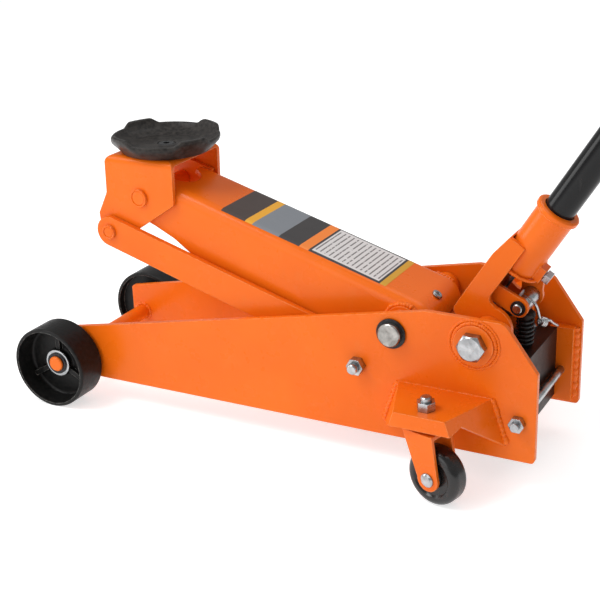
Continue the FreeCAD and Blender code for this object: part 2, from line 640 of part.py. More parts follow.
def at_side(edge, inset):
    """True for an edge whose middle lies on one of the arm's two sides."""
    middle = edge.valueAt((edge.FirstParameter + edge.LastParameter) / 2)
    return abs(middle.y) > number(f"arm_front_half - {inset}") - 1


def arm_shoulder(inset):
    """Chooses the long edges where the arm's top meets its sides."""
    foot_x, foot_z = along_arm("0", f"arm_top - {inset}")
    foot = point(foot_x, "0", foot_z)
    upward = ARM_TURN.multVec(Z_AXIS)

    def chosen(edge):
        if edge.Length < 20 or not at_side(edge, inset):
            return False
        middle = edge.valueAt((edge.FirstParameter + edge.LastParameter) / 2)
        return abs((middle - foot).dot(upward)) < 0.5
    return chosen


def rear_rim(inset):
    """Chooses the rims of the arm's rounded rear end."""
    def chosen(edge):
        return at_side(edge, inset) and edge.Length > 20
    return chosen


def arm_form(name, inset, front, drop, tail):
    """The arm's outer form, or with an inset its hollow, narrowed to the front in plan.

    Returns a block drawn in profile and the rounded rear end, each given the same bend.
    drop lowers the underside; tail is the block's last corners, behind the pivot.
    """
    low = f"-(arm_depth + {drop})"
    top = f"arm_top - {inset}"
    bend = f"arm_bend - {inset}"
    corners = [("-arm_tail", top), (front, top), (front, f"{low} + 24"), ("249", f"{low} + 20.5"),
               ("217", f"{low} + 10"), ("190", low), ("80", low), *tail]
    body = doc.addObject("PartDesign::Body", name)
    pad = body.newObject("PartDesign::Pad", f"{name}Pad")
    pad.Profile = sketch_on(body, "XZ_Plane", [along_arm(*corner) for corner in corners])
    pad.SideType = "Symmetric"
    bind(pad, "Length", "2 * (arm_rear_half + 5)")
    wrap = across(f"{name}Wrap", top, "arm_rear_half + 5", *along_arm("-arm_tail", "0"))
    plan_body = doc.addObject("PartDesign::Body", f"{name}Plan")
    plan_pad = plan_body.newObject("PartDesign::Pad", f"{name}PlanPad")
    slim, broad = f"arm_front_half - {inset}", f"arm_rear_half - {inset}"
    nose, rear = BRACKET_PIVOT[0], "arm_pivot_x + 40"
    outline = [(nose, f"-({slim})"), (rear, f"-({broad})"), (rear, broad), (nose, slim)]
    plan_pad.Profile = sketch_on(plan_body, "XY_Plane", outline)
    plan_pad.SideType = "Symmetric"
    plan_pad.Length = 600
    halves = []
    for thing, chosen in ((body, arm_shoulder(inset)), (wrap, rear_rim(inset))):
        narrowed = doc.addObject("Part::Common", f"{thing.Name}Narrowed")
        narrowed.Base = thing
        narrowed.Tool = plan_body
        halves.append(rounded(f"{thing.Name}Rounded", narrowed, bend, chosen))
    return halves


def make_lift_arm():
    """Pressed channel, open below, with ears at the front and a rounded rear end."""
    outer = arm_form("ArmSolid", "0", "272", "0",
                     [("10", "18 - arm_depth"), ("-arm_tail", "26.5 - arm_depth")])
    inner = arm_form("ArmHollow", "arm_sheet", "290", "30",
                     [("-60", "-(arm_depth + 30)"), ("-60", "arm_skirt"),
                      ("-arm_tail", "arm_skirt")])
    ears = []
    for name, side in SIDES.items():
        span = ("arm_front_half - arm_sheet + ear_proud", "arm_front_half + ear_proud")
        ears.append(outward(f"ArmEarDisc_{name}", "arm_ear", *span, *BRACKET_PIVOT, side))
        ears.append(slab(f"ArmEarStrap_{name}",
                         [along_arm("262", "arm_ear"), along_arm("arm_length", "arm_ear"),
                          along_arm("arm_length", "-arm_ear"), along_arm("262", "-(arm_ear + 3)")],
                         *span, side))
    solid = fuse("ArmForm", *outer, refine=False)
    shell = cut("ArmShell", cut("ArmTrough", solid, inner[0], refine=False), inner[1], refine=False)
    upward = ARM_TURN.multVec(Z_AXIS)
    notch_x, notch_z = along_arm("277", "arm_top - 12")
    plug_up = Rotation(Y_AXIS, number("arm_slope + plug_tilt")).multVec(Z_AXIS)
    plug_x, plug_z = along_arm("-(arm_tail + (arm_top - arm_sheet) * sin(plug_tilt * 1 deg))",
                               "(arm_top - arm_sheet) * cos(plug_tilt * 1 deg)")
    plug_base = (plug_x, "plug_side", plug_z)
    boss_hole = across("ArmBossHole", "boss_radius + 0.05", "70", "arm_pivot_x", "arm_pivot_z")
    bored = cut("ArmBored", shell, boss_hole, refine=False)
    blank = fuse("ArmBlank", bored, *ears, refine=False)
    tools = [across("ArmPinHole", "bracket_pin + 0.06", "70", *BRACKET_PIVOT),
             rod("PlugHole", "plug_shank + 0.05", "12", plug_base, plug_up),
             rod("ArmNotch", "20", "30", (notch_x, "0", notch_z), upward)]
    subpart("lift_arm", cut("LiftArm", blank, *tools, refine=False))
    head = "plug_shank + 1.5"
    face = "arm_sheet + 0.4"
    blank = turned("PlugBlank", [("0", "0"), ("plug_shank", "0"), ("plug_shank", face),
                                 (head, face), (head, f"{face} + 1.3"), (f"{head} - 1", f"{face} + 2.1"),
                                 ("0", f"{face} + 2.1")], plug_base, plug_up)
    socket_x, socket_z = (f"{start} + ({face} + 0.6) * {component:.9f}"
                          for start, component in ((plug_x, plug_up.x), (plug_z, plug_up.z)))
    socket = hexagon("PlugSocket", "4", "5", (socket_x, "plug_side", socket_z), plug_up)
    subpart("grease_plug", cut("GreasePlug", blank, socket))


def make_arm_boss():
    """Bearing tube welded through the arm; it is slimmer where it stands clear of the arm."""
    bore, neck = "arm_shaft + 0.06", "arm_shaft + 2.5"
    waist = "arm_rear_half + 3"
    profile = [(bore, "-boss_half"), (neck, "-boss_half"), (neck, f"-({waist})"),
               ("boss_radius", f"-({waist})"), ("boss_radius", waist), (neck, waist),
               (neck, "boss_half"), (bore, "boss_half")]
    subpart("arm_pivot_boss",
            turned("ArmPivotBoss", profile, ("arm_pivot_x", "0", "arm_pivot_z"), Y_AXIS))


def make_ram_lever():
    """Two plates that hang from the arm's boss and carry the ram's pin."""
    plates = []
    span = ("lever_inner", "lever_outer")
    for name, side in SIDES.items():
        web = slab(f"LeverWeb_{name}",
                   [("arm_pivot_x - 15", "arm_pivot_z - 8"), ("arm_pivot_x + 15", "arm_pivot_z - 8"),
                    ("lever_x + lever_end", "lever_z + 2"), ("lever_x - lever_end", "lever_z + 2")],
                   *span, side)
        eye = outward(f"LeverEye_{name}", "lever_end", *span, "lever_x", "lever_z", side)
        plates.append(fuse(f"LeverPlate_{name}", web, eye))
    holes = [across("LeverBossHole", "boss_radius + 0.05", "40", "arm_pivot_x", "arm_pivot_z"),
             across("LeverPinHole", "lever_pin + 0.05", "40", "lever_x", "lever_z")]
    subpart("ram_lever", cut("RamLever", group("LeverPlates", *plates), *holes))
    subpart("lever_pin", across("LeverPin", "lever_pin", "lever_outer + 2", "lever_x", "lever_z"))


def make_radius_links():
    """Flat links that keep the saddle level, one on each side."""
    dx, dz = f"link_end * {ARM_SIN}", f"link_end * {ARM_COS}"
    outline = [(f"{LINK_REAR[0]} + {dx}", f"{LINK_REAR[1]} + {dz}"),
               (f"{LINK_FRONT[0]} + {dx}", f"{LINK_FRONT[1]} + {dz}"),
               (f"{LINK_FRONT[0]} - {dx}", f"{LINK_FRONT[1]} - {dz}"),
               (f"{LINK_REAR[0]} - {dx}", f"{LINK_REAR[1]} - {dz}")]
    sink_profile = [("0", "-1"), ("link_bolt + 4.1", "-1"), ("link_bolt + 4.1", "0.65"),
                    ("link_bolt + 0.06", "4.3"), ("link_bolt + 0.06", "9"), ("0", "9")]
    for name, side in SIDES.items():
        bar = slab(f"LinkBar_{name}", outline, "link_inner", LINK_OUTER, side)
        ends = [outward(f"LinkEnd{index}_{name}", "link_end", "link_inner", LINK_OUTER, *centre, side)
                for index, centre in enumerate((LINK_REAR, LINK_FRONT))]
        sink = turned(f"LinkSink_{name}", sink_profile,
                      (LINK_REAR[0], f"{side} * (link_inner + 0.1)", LINK_REAR[1]), Y_AXIS * side)
        eye = outward(f"LinkEye_{name}", "link_pin + 0.6", "link_inner - 1", f"{LINK_OUTER} + 1",
                      *LINK_FRONT, side)
        subpart(f"radius_link_{name}",
                cut(f"RadiusLink_{name}", fuse(f"LinkBlank_{name}", bar, *ends), sink, eye))


# ---------------------------------------------------------------- saddle and its bracket
def lengthwise_edge(half, height):
    """Chooses the two edges that run fore and aft at +-half and this height."""
    def chosen(edge):
        ends = [vertex.Point for vertex in edge.Vertexes]
        return len(ends) == 2 and all(
            abs(abs(end.y) - number(half)) < 0.01 and abs(end.z - number(height)) < 0.01
            for end in ends)
    return chosen


def make_saddle_bracket():
    """Folded bracket: a flat top and two cheeks, with lobes for the link pins."""
    outline = [("bracket_front", "bracket_top"), ("bracket_rear", "bracket_top"),
               ("bracket_rear - 1", "211.6"), ("79", "181"),
               (f"{LINK_FRONT[0]} + 9", f"{LINK_FRONT[1]} - 12"), LINK_FRONT,
               (f"{LINK_FRONT[0]} - link_end", LINK_FRONT[1]),
               (f"{LINK_FRONT[0]} - 16.3", "194"), ("bracket_front - 1", "216")]
    blank = slab("BracketBlank", outline, "0", "bracket_half", rounds=[("4", (2,)), ("8", (8,))])
    doc.recompute()
    blank.Tip = soften(blank, blank.Tip, "bracket_bend",
                       lengthwise_edge("bracket_half", "bracket_top"))
    lobes = across("BracketLobes", "link_end", "bracket_half", *LINK_FRONT)
    inner = "bracket_half - bracket_sheet"
    top = "bracket_top - bracket_sheet"
    hollow = slab("BracketHollow", [("0", "150"), ("0", top), ("180", top), ("180", "150")],
                  "0", inner)
    hollow.Tip = soften(hollow, hollow.Tip, "bracket_bend - bracket_sheet",
                        lengthwise_edge(inner, top))
    holes = [across("BracketPinHole", "bracket_pin + running_gap", "60", *BRACKET_PIVOT),
             across("BracketLinkHole", "link_pin + running_gap", "60", *LINK_FRONT),
             rod("BracketStemHole", "stem_radius + 0.06", "20",
                 ("saddle_x", "0", "bracket_top - 10"))]
    subpart("saddle_bracket",
            cut("SaddleBracket", fuse("BracketSolid", blank, lobes), hollow, *holes))


def make_bracket_pins():
    """The bracket's pivot pin and the two link pins, all with peened heads."""
    half = "(bracket_half + 0.1)"
    head = "bracket_pin + 1"
    profile = [("0", f"-{half} - 2.6"), (f"{head} - 3", f"-{half} - 2.6"), (head, f"-{half} - 1.4"),
               (head, f"-{half}"), ("bracket_pin", f"-{half}")]
    mirrored = [(r, f"-({along})") for r, along in reversed(profile)]
    subpart("bracket_pivot_pin", turned("BracketPivotPin", profile + mirrored,
                                        (BRACKET_PIVOT[0], "0", BRACKET_PIVOT[1]), Y_AXIS))
    inner = "(bracket_half - bracket_sheet)"
    shoulder = f"({LINK_OUTER} + 0.3 - {inner})"
    profile = [("0", "0"), ("link_pin", "0"), ("link_pin", shoulder), ("link_pin + 2", shoulder),
               ("link_pin + 2", f"{shoulder} + 1.2"), ("link_pin - 0.5", f"{shoulder} + 2.6"),
               ("0", f"{shoulder} + 2.6")]
    pins = [turned(f"LinkPin_{name}", profile, (LINK_FRONT[0], f"{side} * {inner}", LINK_FRONT[1]),
                   Y_AXIS * side) for name, side in SIDES.items()]
    subpart("link_front_pins", group("LinkFrontPins", *pins))


def make_saddle():
    """Flared cast cup with four lugs, held to the bracket by a screw and a nut."""
    floor, rim = "saddle_floor", "saddle_rim"
    under = "bracket_top + 0.3"
    recess = f"{floor} - 2.3"
    bore = "stem_radius + 0.05"
    profile = [(bore, under), ("saddle_foot - 4", under), ("saddle_foot", "bracket_top + 1.5"),
               ("saddle_radius", f"{rim} - 3"), ("saddle_radius", rim), ("saddle_radius - 4", rim),
               ("saddle_radius - 8", f"{floor} + 3.5"), ("saddle_radius - 11", floor),
               ("19", floor), ("18", recess), (bore, recess)]
    cup = turned("SaddleCup", profile, ("saddle_x", "0", "0"))
    lugs = []
    for index in range(4):
        base = ("saddle_x", "0", f"{rim} - 1.5")
        pie = rod(f"SaddlePie{index}", "saddle_radius - 0.3", "saddle_lug - saddle_rim + 1.5", base)
        bind(pie, "Angle", "lug_angle")
        place(pie, base, Rotation(Z_AXIS, 90 * index + number("lug_turn - lug_angle / 2")))
        core = rod(f"SaddleCore{index}", "saddle_radius - 4", "30", base)
        lugs.append(cut(f"SaddleLug{index}", pie, core))
    subpart("saddle", fuse("Saddle", cup, *lugs))
    head = "bracket_top + 4.3"
    screw = [("0", "232"), ("stem_radius - 1", "232"), ("stem_radius", "233"), ("stem_radius", head),
             ("8.5", head), ("8.5", f"{head} + 1.3"), ("7.5", f"{head} + 2.1"), ("0", f"{head} + 2.1")]
    socket = hexagon("StemSocket", "6", "5", ("saddle_x", "0", f"{head} - 0.8"), Z_AXIS)
    subpart("saddle_screw", cut("SaddleScrew",
                                turned("SaddleScrewBlank", screw, ("saddle_x", "0", "0")), socket))
    nut = hexagon("SaddleNutBlank", "17", "8",
                  ("saddle_x", "0", "bracket_top - bracket_sheet - 8.3"), Z_AXIS)
    bore = rod("SaddleNutBore", "stem_radius + 0.02", "20", ("saddle_x", "0", "235"))
    subpart("saddle_nut", cut("SaddleNut", nut, bore))


# ---------------------------------------------------------------- pump handle socket
def tapered(name, inset, length, bend):
    """The width of the yoke as a solid: straight cheeks that lean in towards the socket."""
    wide, slim = f"(yoke_half - {inset})", f"(yoke_top_half - {inset})"
    body = doc.addObject("PartDesign::Body", name)
    pad = body.newObject("PartDesign::Pad", f"{name}Pad")
    pad.Profile = sketch_on(body, "YZ_Plane",
                            [(f"-{wide}", "-70"), (f"-{wide}", "yoke_knee"), (f"-{slim}", "yoke_top"),
                             (slim, "yoke_top"), (wide, "yoke_knee"), (wide, "-70")])
    pad.SideType = "Symmetric"
    pad.Length = length
    body.Tip = soften(body, pad, bend, lengthwise_edge(wide, "yoke_knee"))
    return body


def make_yoke_frame():
    """Welded fork, drawn about the handle's own axis: X behind the axis, Z along it."""
    front = "-yoke_front"
    outline = [(front, "-6.7"), (front, "58"), ("-socket_radius - 1", "yoke_top"),
               ("-2", "yoke_top"), ("-2", "22"), ("27", "17.2"), ("yoke_offset", "0"), ("4", "-18")]
    cheeks = fuse("YokeOuter", slab("YokeSide", outline, "0", "yoke_half", rounds=[("6", (0, 4))]),
                  across("YokeEye", "yoke_round", "yoke_half", "yoke_offset", "0"))
    shaped = doc.addObject("Part::Common", "YokeShaped")
    shaped.Base = cheeks
    shaped.Tool = tapered("YokeTaper", "0", 200, "yoke_bend")
    hollow = tapered("YokeHollow", "yoke_sheet", 100, "yoke_bend - yoke_sheet")
    place(hollow, ("50 - yoke_front + yoke_sheet", "0", "0"), Rotation())
    walls = cut("YokeWalls", shaped, hollow)
    span = ("ear_inner", "ear_inner + ear_sheet")
    spot = ("roller_behind", "roller_along")
    inside = f"{front} + 1"
    strap = slab("EarStrap", [(inside, "16"), (inside, "32"), (spot[0], f"{spot[1]} + strap_round"),
                              (f"{spot[0]} + 3", f"{spot[1]} - 8")], *span, SIDES["left"])
    strap_eye = outward("EarStrapEye", "strap_round", *span, *spot, SIDES["left"])
    web = slab("EarWeb", [(f"{spot[0]} - ear_round", spot[1]), ("-1", "52"), ("-1", "68"),
                          ("14", "70"), (f"{spot[0]} + ear_round", spot[1])], *span, SIDES["right"])
    web_eye = outward("EarEye", "ear_round", *span, *spot, SIDES["right"])
    stay = slab("EarStay", [(inside, "40"), (inside, "60"), ("4", "60"), ("4", "40")], *span,
                SIDES["right"])
    holes = [rod("YokeSocketSeat", "socket_radius + 0.03", "80", ("0", "0", "socket_low - 0.03")),
             across("YokeEyeHole", "yoke_bolt + 0.06", "40", "yoke_offset", "0"),
             across("EarPinHole", "pin_radius + running_gap", "30", *spot),
             rod("YokeLockHole", "lock_shank + 0.6", "40", ("0", "0", "lock_along"), X_AXIS)]
    frame = cut("YokeFrame", fuse("YokeBlank", walls, strap, strap_eye, web, web_eye, stay), *holes)
    subpart("yoke_frame", on_handle(frame))


def make_handle_socket():
    """Tube for the handle's foot, with a collar, and a pad for the bolt that locks it."""
    collar = "socket_radius + 2.5"
    profile = [("socket_bore", "socket_low"), ("socket_radius", "socket_low"),
               ("socket_radius", "socket_high - 6.5"), (collar, "socket_high - 5"),
               (collar, "socket_high - 1"), (f"{collar} - 2", "socket_high"),
               ("socket_bore", "socket_high")]
    barrel = turned("SocketBarrel", profile, ("0", "0", "0"), rounds=[("1", (3, 4, 5))])
    pad = box("LockPad", ("socket_radius - 2", "-lock_pad", "lock_along - lock_pad"),
              ("socket_radius + 5.5", "lock_pad", "lock_along + lock_pad"))
    inside = rod("SocketInside", "socket_bore", "100", ("0", "0", "socket_low - 5"))
    thread = rod("LockThread", "lock_shank + 0.03", "40", ("0", "0", "lock_along"), X_AXIS)
    subpart("handle_socket",
            on_handle(cut("HandleSocket", fuse("SocketBlank", barrel, pad), inside, thread)))
    shank = rod("LockShank", "lock_shank", "socket_radius + 7 - 15", ("15", "0", "lock_along"),
                X_AXIS)
    head = hexagon("LockHead", "12", "5.5", ("socket_radius + 6.5", "0", "lock_along"), X_AXIS)
    subpart("handle_lock_bolt", on_handle(fuse("LockBolt", shank, head)))


def make_pump_roller():
    """Roller on a pin between the ears, held by two circlips."""
    spot_x, spot_z = "roller_behind", "roller_along"
    subpart("pump_roller", on_handle(
        tube("PumpRollerTube", "roller_radius", "pin_radius + running_gap", "2 * roller_half",
             (spot_x, "-roller_half", spot_z), Y_AXIS)))
    end = "(ear_inner + ear_sheet + 4.5)"
    chamfer = "pin_radius - 0.8"
    pin = turned("RollerPin", [("0", f"-{end}"), (chamfer, f"-{end}"), ("pin_radius", f"0.8 - {end}"),
                               ("pin_radius", f"{end} - 0.8"), (chamfer, end), ("0", end)],
                 (spot_x, "0", spot_z), Y_AXIS)
    subpart("roller_pin", on_handle(group("RollerPinPlaced", pin)))
    rings = [tube(f"RollerRing_{name}", "pin_radius + 2.4", "pin_radius + 0.03", "clip_sheet",
                  (spot_x, f"{side} * (ear_inner + ear_sheet + 0.9)", spot_z), Y_AXIS * side)
             for name, side in SIDES.items()]
    subpart("roller_circlips", on_handle(group("RollerCirclips", *rings)))


# ---------------------------------------------------------------- handle
def make_handle():
    """Two-piece tubular handle with a button at its joint, a grip, and the release drive."""
    bore = "(handle_radius - handle_wall)"
    lower = tube("HandleLower", "handle_radius", bore, "joint_along - handle_low",
                 ("0", "0", "handle_low"))
    hole = rod("ButtonHole", "button_radius + 0.05", "20", ("0", "0", "button_along"), X_AXIS)
    subpart("handle_lower_tube", on_handle(cut("HandleLowerTube", lower, hole)))
    neck = f"({bore} - 0.1)"
    neck_bore = f"({neck} - handle_wall)"
    profile = [(neck_bore, "joint_along - neck_length"), (neck, "joint_along - neck_length"),
               (neck, "joint_along + 0.1"), ("handle_radius", "joint_along + 2"),
               ("handle_radius", "handle_high"), (bore, "handle_high"), (bore, "joint_along + 4"),
               (neck_bore, "joint_along + 2")]
    upper = turned("HandleUpper", profile, ("0", "0", "0"))
    seat = rod("ButtonSeat", "button_radius + 0.05", "20", ("0", "0", "button_along"), X_AXIS)
    subpart("handle_upper_tube", on_handle(cut("HandleUpperTube", upper, seat)))
    button = turned("JointButton",
                    [("0", f"{neck_bore} + 0.5"), ("button_radius", f"{neck_bore} + 0.5"),
                     ("button_radius", "handle_radius"), ("2.5", "handle_radius + 1.5"),
                     ("0", "handle_radius + 1.5")], ("0", "0", "button_along"), X_AXIS)
    subpart("handle_joint_button", on_handle(group("JointButtonPlaced", button)))
    inner, cap = "handle_radius + 0.05", "handle_high + grip_cap"
    grip = [(inner, "grip_low"), ("grip_radius - 1", "grip_low"), ("grip_radius", "grip_low + 1"),
            ("grip_radius", f"{cap} - 2"), ("grip_radius - 2", cap), ("0", cap),
            ("0", "handle_high + 0.05"), (inner, "handle_high + 0.05")]
    subpart("handle_grip", on_handle(group("GripPlaced", turned("Grip", grip, ("0", "0", "0")))))
    plug = f"{bore} - 0.05"
    drive = [("0", "3"), ("3", "3"), ("4", "4"), ("4", "handle_low - 1"), (plug, "handle_low + 0.5"),
             (plug, "handle_low + 12"), ("0", "handle_low + 12")]
    subpart("release_drive_rod",
            on_handle(group("DriveRodPlaced", turned("DriveRod", drive, ("0", "0", "0")))))


# ---------------------------------------------------------------- wheels
def make_front_wheels():
    """Cast wheels: a rim, a recessed web with three ribs, and a hub."""
    wall = "wheel_radius - wheel_wall"
    bore = "axle_radius + 0.06"
    profile = [(bore, "wheel_inner + 0.1"), ("hub_radius", "wheel_inner + 0.1"),
               ("hub_radius", "web_inner"), (f"{wall} - 1", "web_inner"), (wall, "wheel_inner"),
               ("wheel_radius", "wheel_inner"), ("wheel_radius", "wheel_outer"),
               (wall, "wheel_outer"), (f"{wall} - 1", "web_outer"), ("hub_radius", "web_outer"),
               ("hub_radius", "hub_outer"), (bore, "hub_outer")]
    for name, side in SIDES.items():
        rim = turned(f"WheelRim_{name}", profile, ("0", "0", "wheel_radius"), Y_AXIS * side,
                     rounds=[("1.6", (5, 6)), ("3", (8, 9))])
        ribs = []
        for index in range(3):
            rib = box(f"WheelRib{index}_{name}", ("0", "-rib_sheet / 2", "web_outer - 1"),
                      (f"{wall} - 0.5", "rib_sheet / 2", "hub_outer - 0.5"))
            hub = rod(f"WheelRibGap{index}_{name}", "hub_radius - 2", "40", ("0", "0", "70"))
            ribs.append(place(cut(f"WheelRibCut{index}_{name}", rib, hub), ("0", "0", "0"),
                              Rotation(Z_AXIS, 120 * index + 90)))
        spokes = place(fuse(f"WheelRibs_{name}", *ribs), ("0", "0", "wheel_radius"),
                       Rotation(Z_AXIS, Y_AXIS * side))
        subpart(f"front_wheel_{name}", fuse(f"FrontWheel_{name}", rim, spokes))


def make_casters():
    """Drawn with the kingpin on the Z axis and the wheel trailing along X, then turned."""
    outer_half = "(fork_inner + fork_sheet)"
    hub = ("caster_trail", "caster_radius")
    outline = [("-fork_half", "fork_top"), ("fork_half + 2", "fork_top"),
               ("caster_trail + fork_end", "caster_radius"), hub,
               ("caster_trail - fork_end + 1.5", "caster_radius - 3.5")]
    head = "(caster_axle + 2.5)"
    end = f"({outer_half} + 0.1)"
    rivet = [("0", f"-{end} - 2.5"), (f"{head} - 2", f"-{end} - 2.5"), (head, f"-{end} - 1"),
             (head, f"-{end}"), ("caster_axle", f"-{end}")]
    rivet += [(r, f"-({along})") for r, along in reversed(rivet)]
    half, bore = "(caster_width / 2)", "caster_axle + 0.06"
    face = [(bore, f"-{half}"), ("8", f"-{half}"), ("9", f"2 - {half}"), ("17", f"2 - {half}"),
            ("19", f"-{half}"), ("caster_radius", f"-{half}")]
    tread = face + [(r, f"-({along})") for r, along in reversed(face)]
    for name, side in SIDES.items():
        turn = Rotation(Z_AXIS, side * number("caster_turn"))
        base = ("caster_x", f"{side} * caster_half", "0")
        shape = slab(f"ForkSide_{name}", outline, "0", outer_half)
        eyes = across(f"ForkEyes_{name}", "fork_end", outer_half, *hub)
        hollow = box(f"ForkHollow_{name}", ("-40", "-fork_inner", "0"),
                     ("60", "fork_inner", "fork_top - fork_sheet"))
        king = rod(f"ForkKingHole_{name}", "stud_radius + 0.06", "20", ("0", "0", "fork_top - 10"))
        axle_hole = across(f"ForkAxleHole_{name}", "caster_axle + running_gap", "30", *hub)
        fork = cut(f"Fork_{name}", fuse(f"ForkBlank_{name}", shape, eyes), hollow, king, axle_hole)
        subpart(f"caster_fork_{name}", place(fork, base, turn))
        centre = (hub[0], "0", hub[1])
        axle = turned(f"CasterAxle_{name}", rivet, centre, Y_AXIS)
        subpart(f"caster_axle_{name}", place(group(f"CasterAxlePlaced_{name}", axle), base, turn))
        wheel = turned(f"CasterWheel_{name}", tread, centre, Y_AXIS, rounds=[("6.5", (5, 6))])
        subpart(f"caster_wheel_{name}",
                place(group(f"CasterWheelPlaced_{name}", wheel), base, turn))


def check_and_export():
    """Stops on a failed object or shape; otherwise writes each sub-part."""
    doc.recompute()
    for thing in doc.Objects:
        if {"Invalid", "Error"} & set(thing.State):
            raise RuntimeError(f"{thing.Name} failed: {thing.State}")
    os.makedirs("parts", exist_ok=True)
    for thing in SUBPARTS:
        shape = thing.Shape
        if shape.isNull() or not shape.isValid() or not shape.Solids:
            raise RuntimeError(f"{thing.Label} has no valid shape")
        shape.exportStep(f"parts/{thing.Label}.step")
    print(f"{len(SUBPARTS)} sub-parts, origin {number(ORIGIN_X):.4f} mm behind the front axle")


make_side_plates()
make_front_axle()
make_circlips()
make_arm_pivot_shaft()
make_unit_mount_bars()
make_tie_rod()
make_link_bolts()
make_yoke_pivots()
make_caster_brackets()
make_caster_studs()
make_pump_block()
make_reservoir()
make_ram_cylinder()
make_ram()
make_plunger()
make_release_valve()
make_lift_arm()
make_arm_boss()
make_ram_lever()
make_radius_links()
make_saddle_bracket()
make_bracket_pins()
make_saddle()
make_yoke_frame()
make_handle_socket()
make_pump_roller()
make_handle()
make_front_wheels()
make_casters()
check_and_export()
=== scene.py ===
"""The looks of a hydraulic floor jack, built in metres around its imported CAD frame."""

import json
import math

import bmesh
import bpy
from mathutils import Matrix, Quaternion, Vector, noise
from mathutils.bvhtree import BVHTree


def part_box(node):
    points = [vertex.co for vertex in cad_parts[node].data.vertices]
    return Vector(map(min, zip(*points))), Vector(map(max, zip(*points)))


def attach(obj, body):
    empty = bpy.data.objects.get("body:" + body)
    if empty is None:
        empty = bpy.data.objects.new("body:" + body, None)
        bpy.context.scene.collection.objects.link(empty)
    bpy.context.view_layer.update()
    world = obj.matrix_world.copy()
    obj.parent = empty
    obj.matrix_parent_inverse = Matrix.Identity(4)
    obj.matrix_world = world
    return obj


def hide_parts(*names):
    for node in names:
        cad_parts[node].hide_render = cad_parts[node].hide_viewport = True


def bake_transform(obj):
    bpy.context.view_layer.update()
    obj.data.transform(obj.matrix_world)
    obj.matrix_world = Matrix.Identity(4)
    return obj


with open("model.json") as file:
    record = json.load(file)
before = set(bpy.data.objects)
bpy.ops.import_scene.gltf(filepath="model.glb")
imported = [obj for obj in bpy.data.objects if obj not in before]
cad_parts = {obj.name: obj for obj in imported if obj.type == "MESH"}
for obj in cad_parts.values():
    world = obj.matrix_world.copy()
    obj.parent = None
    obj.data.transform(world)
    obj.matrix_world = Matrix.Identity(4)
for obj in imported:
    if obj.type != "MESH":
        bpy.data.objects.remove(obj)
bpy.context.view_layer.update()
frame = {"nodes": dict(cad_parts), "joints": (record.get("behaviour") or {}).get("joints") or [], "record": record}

NODES = frame["nodes"]
JOINTS = {joint["name"]: joint for joint in frame["joints"]}
MM = 0.001
SIDES = {"left": -1, "right": 1}
X_AXIS, Y_AXIS, Z_AXIS = Vector((1, 0, 0)), Vector((0, 1, 0)), Vector((0, 0, 1))


# ---------------------------------------------------------------- places taken from the frame
def low(node):
    return Vector(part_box(node)[0])


def high(node):
    return Vector(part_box(node)[1])


def middle(node):
    return (low(node) + high(node)) / 2


def half_span(node, axis):
    """Half a node's size along the axis 0, 1 or 2 of the frame."""
    return (high(node)[axis] - low(node)[axis]) / 2


def side_faces(node):
    """How far a node's near and far faces lie from the jack's middle plane."""
    return sorted((abs(low(node).y), abs(high(node).y)))


def pivot(joint):
    return Vector(JOINTS[joint]["pos_m"])


ARM_PIVOT = pivot("lift")
BRACKET_PIVOT = pivot("saddle_level")
YOKE_PIVOT = pivot("handle_pump")
HANDLE_AXIS = Vector(JOINTS["handle_twist"]["axis"]).normalized()
HANDLE_FOOT = pivot("handle_twist")
ARM_ALONG = (BRACKET_PIVOT - ARM_PIVOT).normalized()
ARM_UP = Vector((0, 1, 0)).cross(ARM_ALONG).normalized()
if ARM_UP.z < 0:
    ARM_UP = -ARM_UP


# ---------------------------------------------------------------- node helpers
def srgb(red, green, blue):
    """A colour given as it is seen, 0 to 255, turned into Blender's linear values."""
    def linear(value):
        value /= 255
        return value / 12.92 if value <= 0.04045 else ((value + 0.055) / 1.055) ** 2.4
    return (linear(red), linear(green), linear(blue), 1)


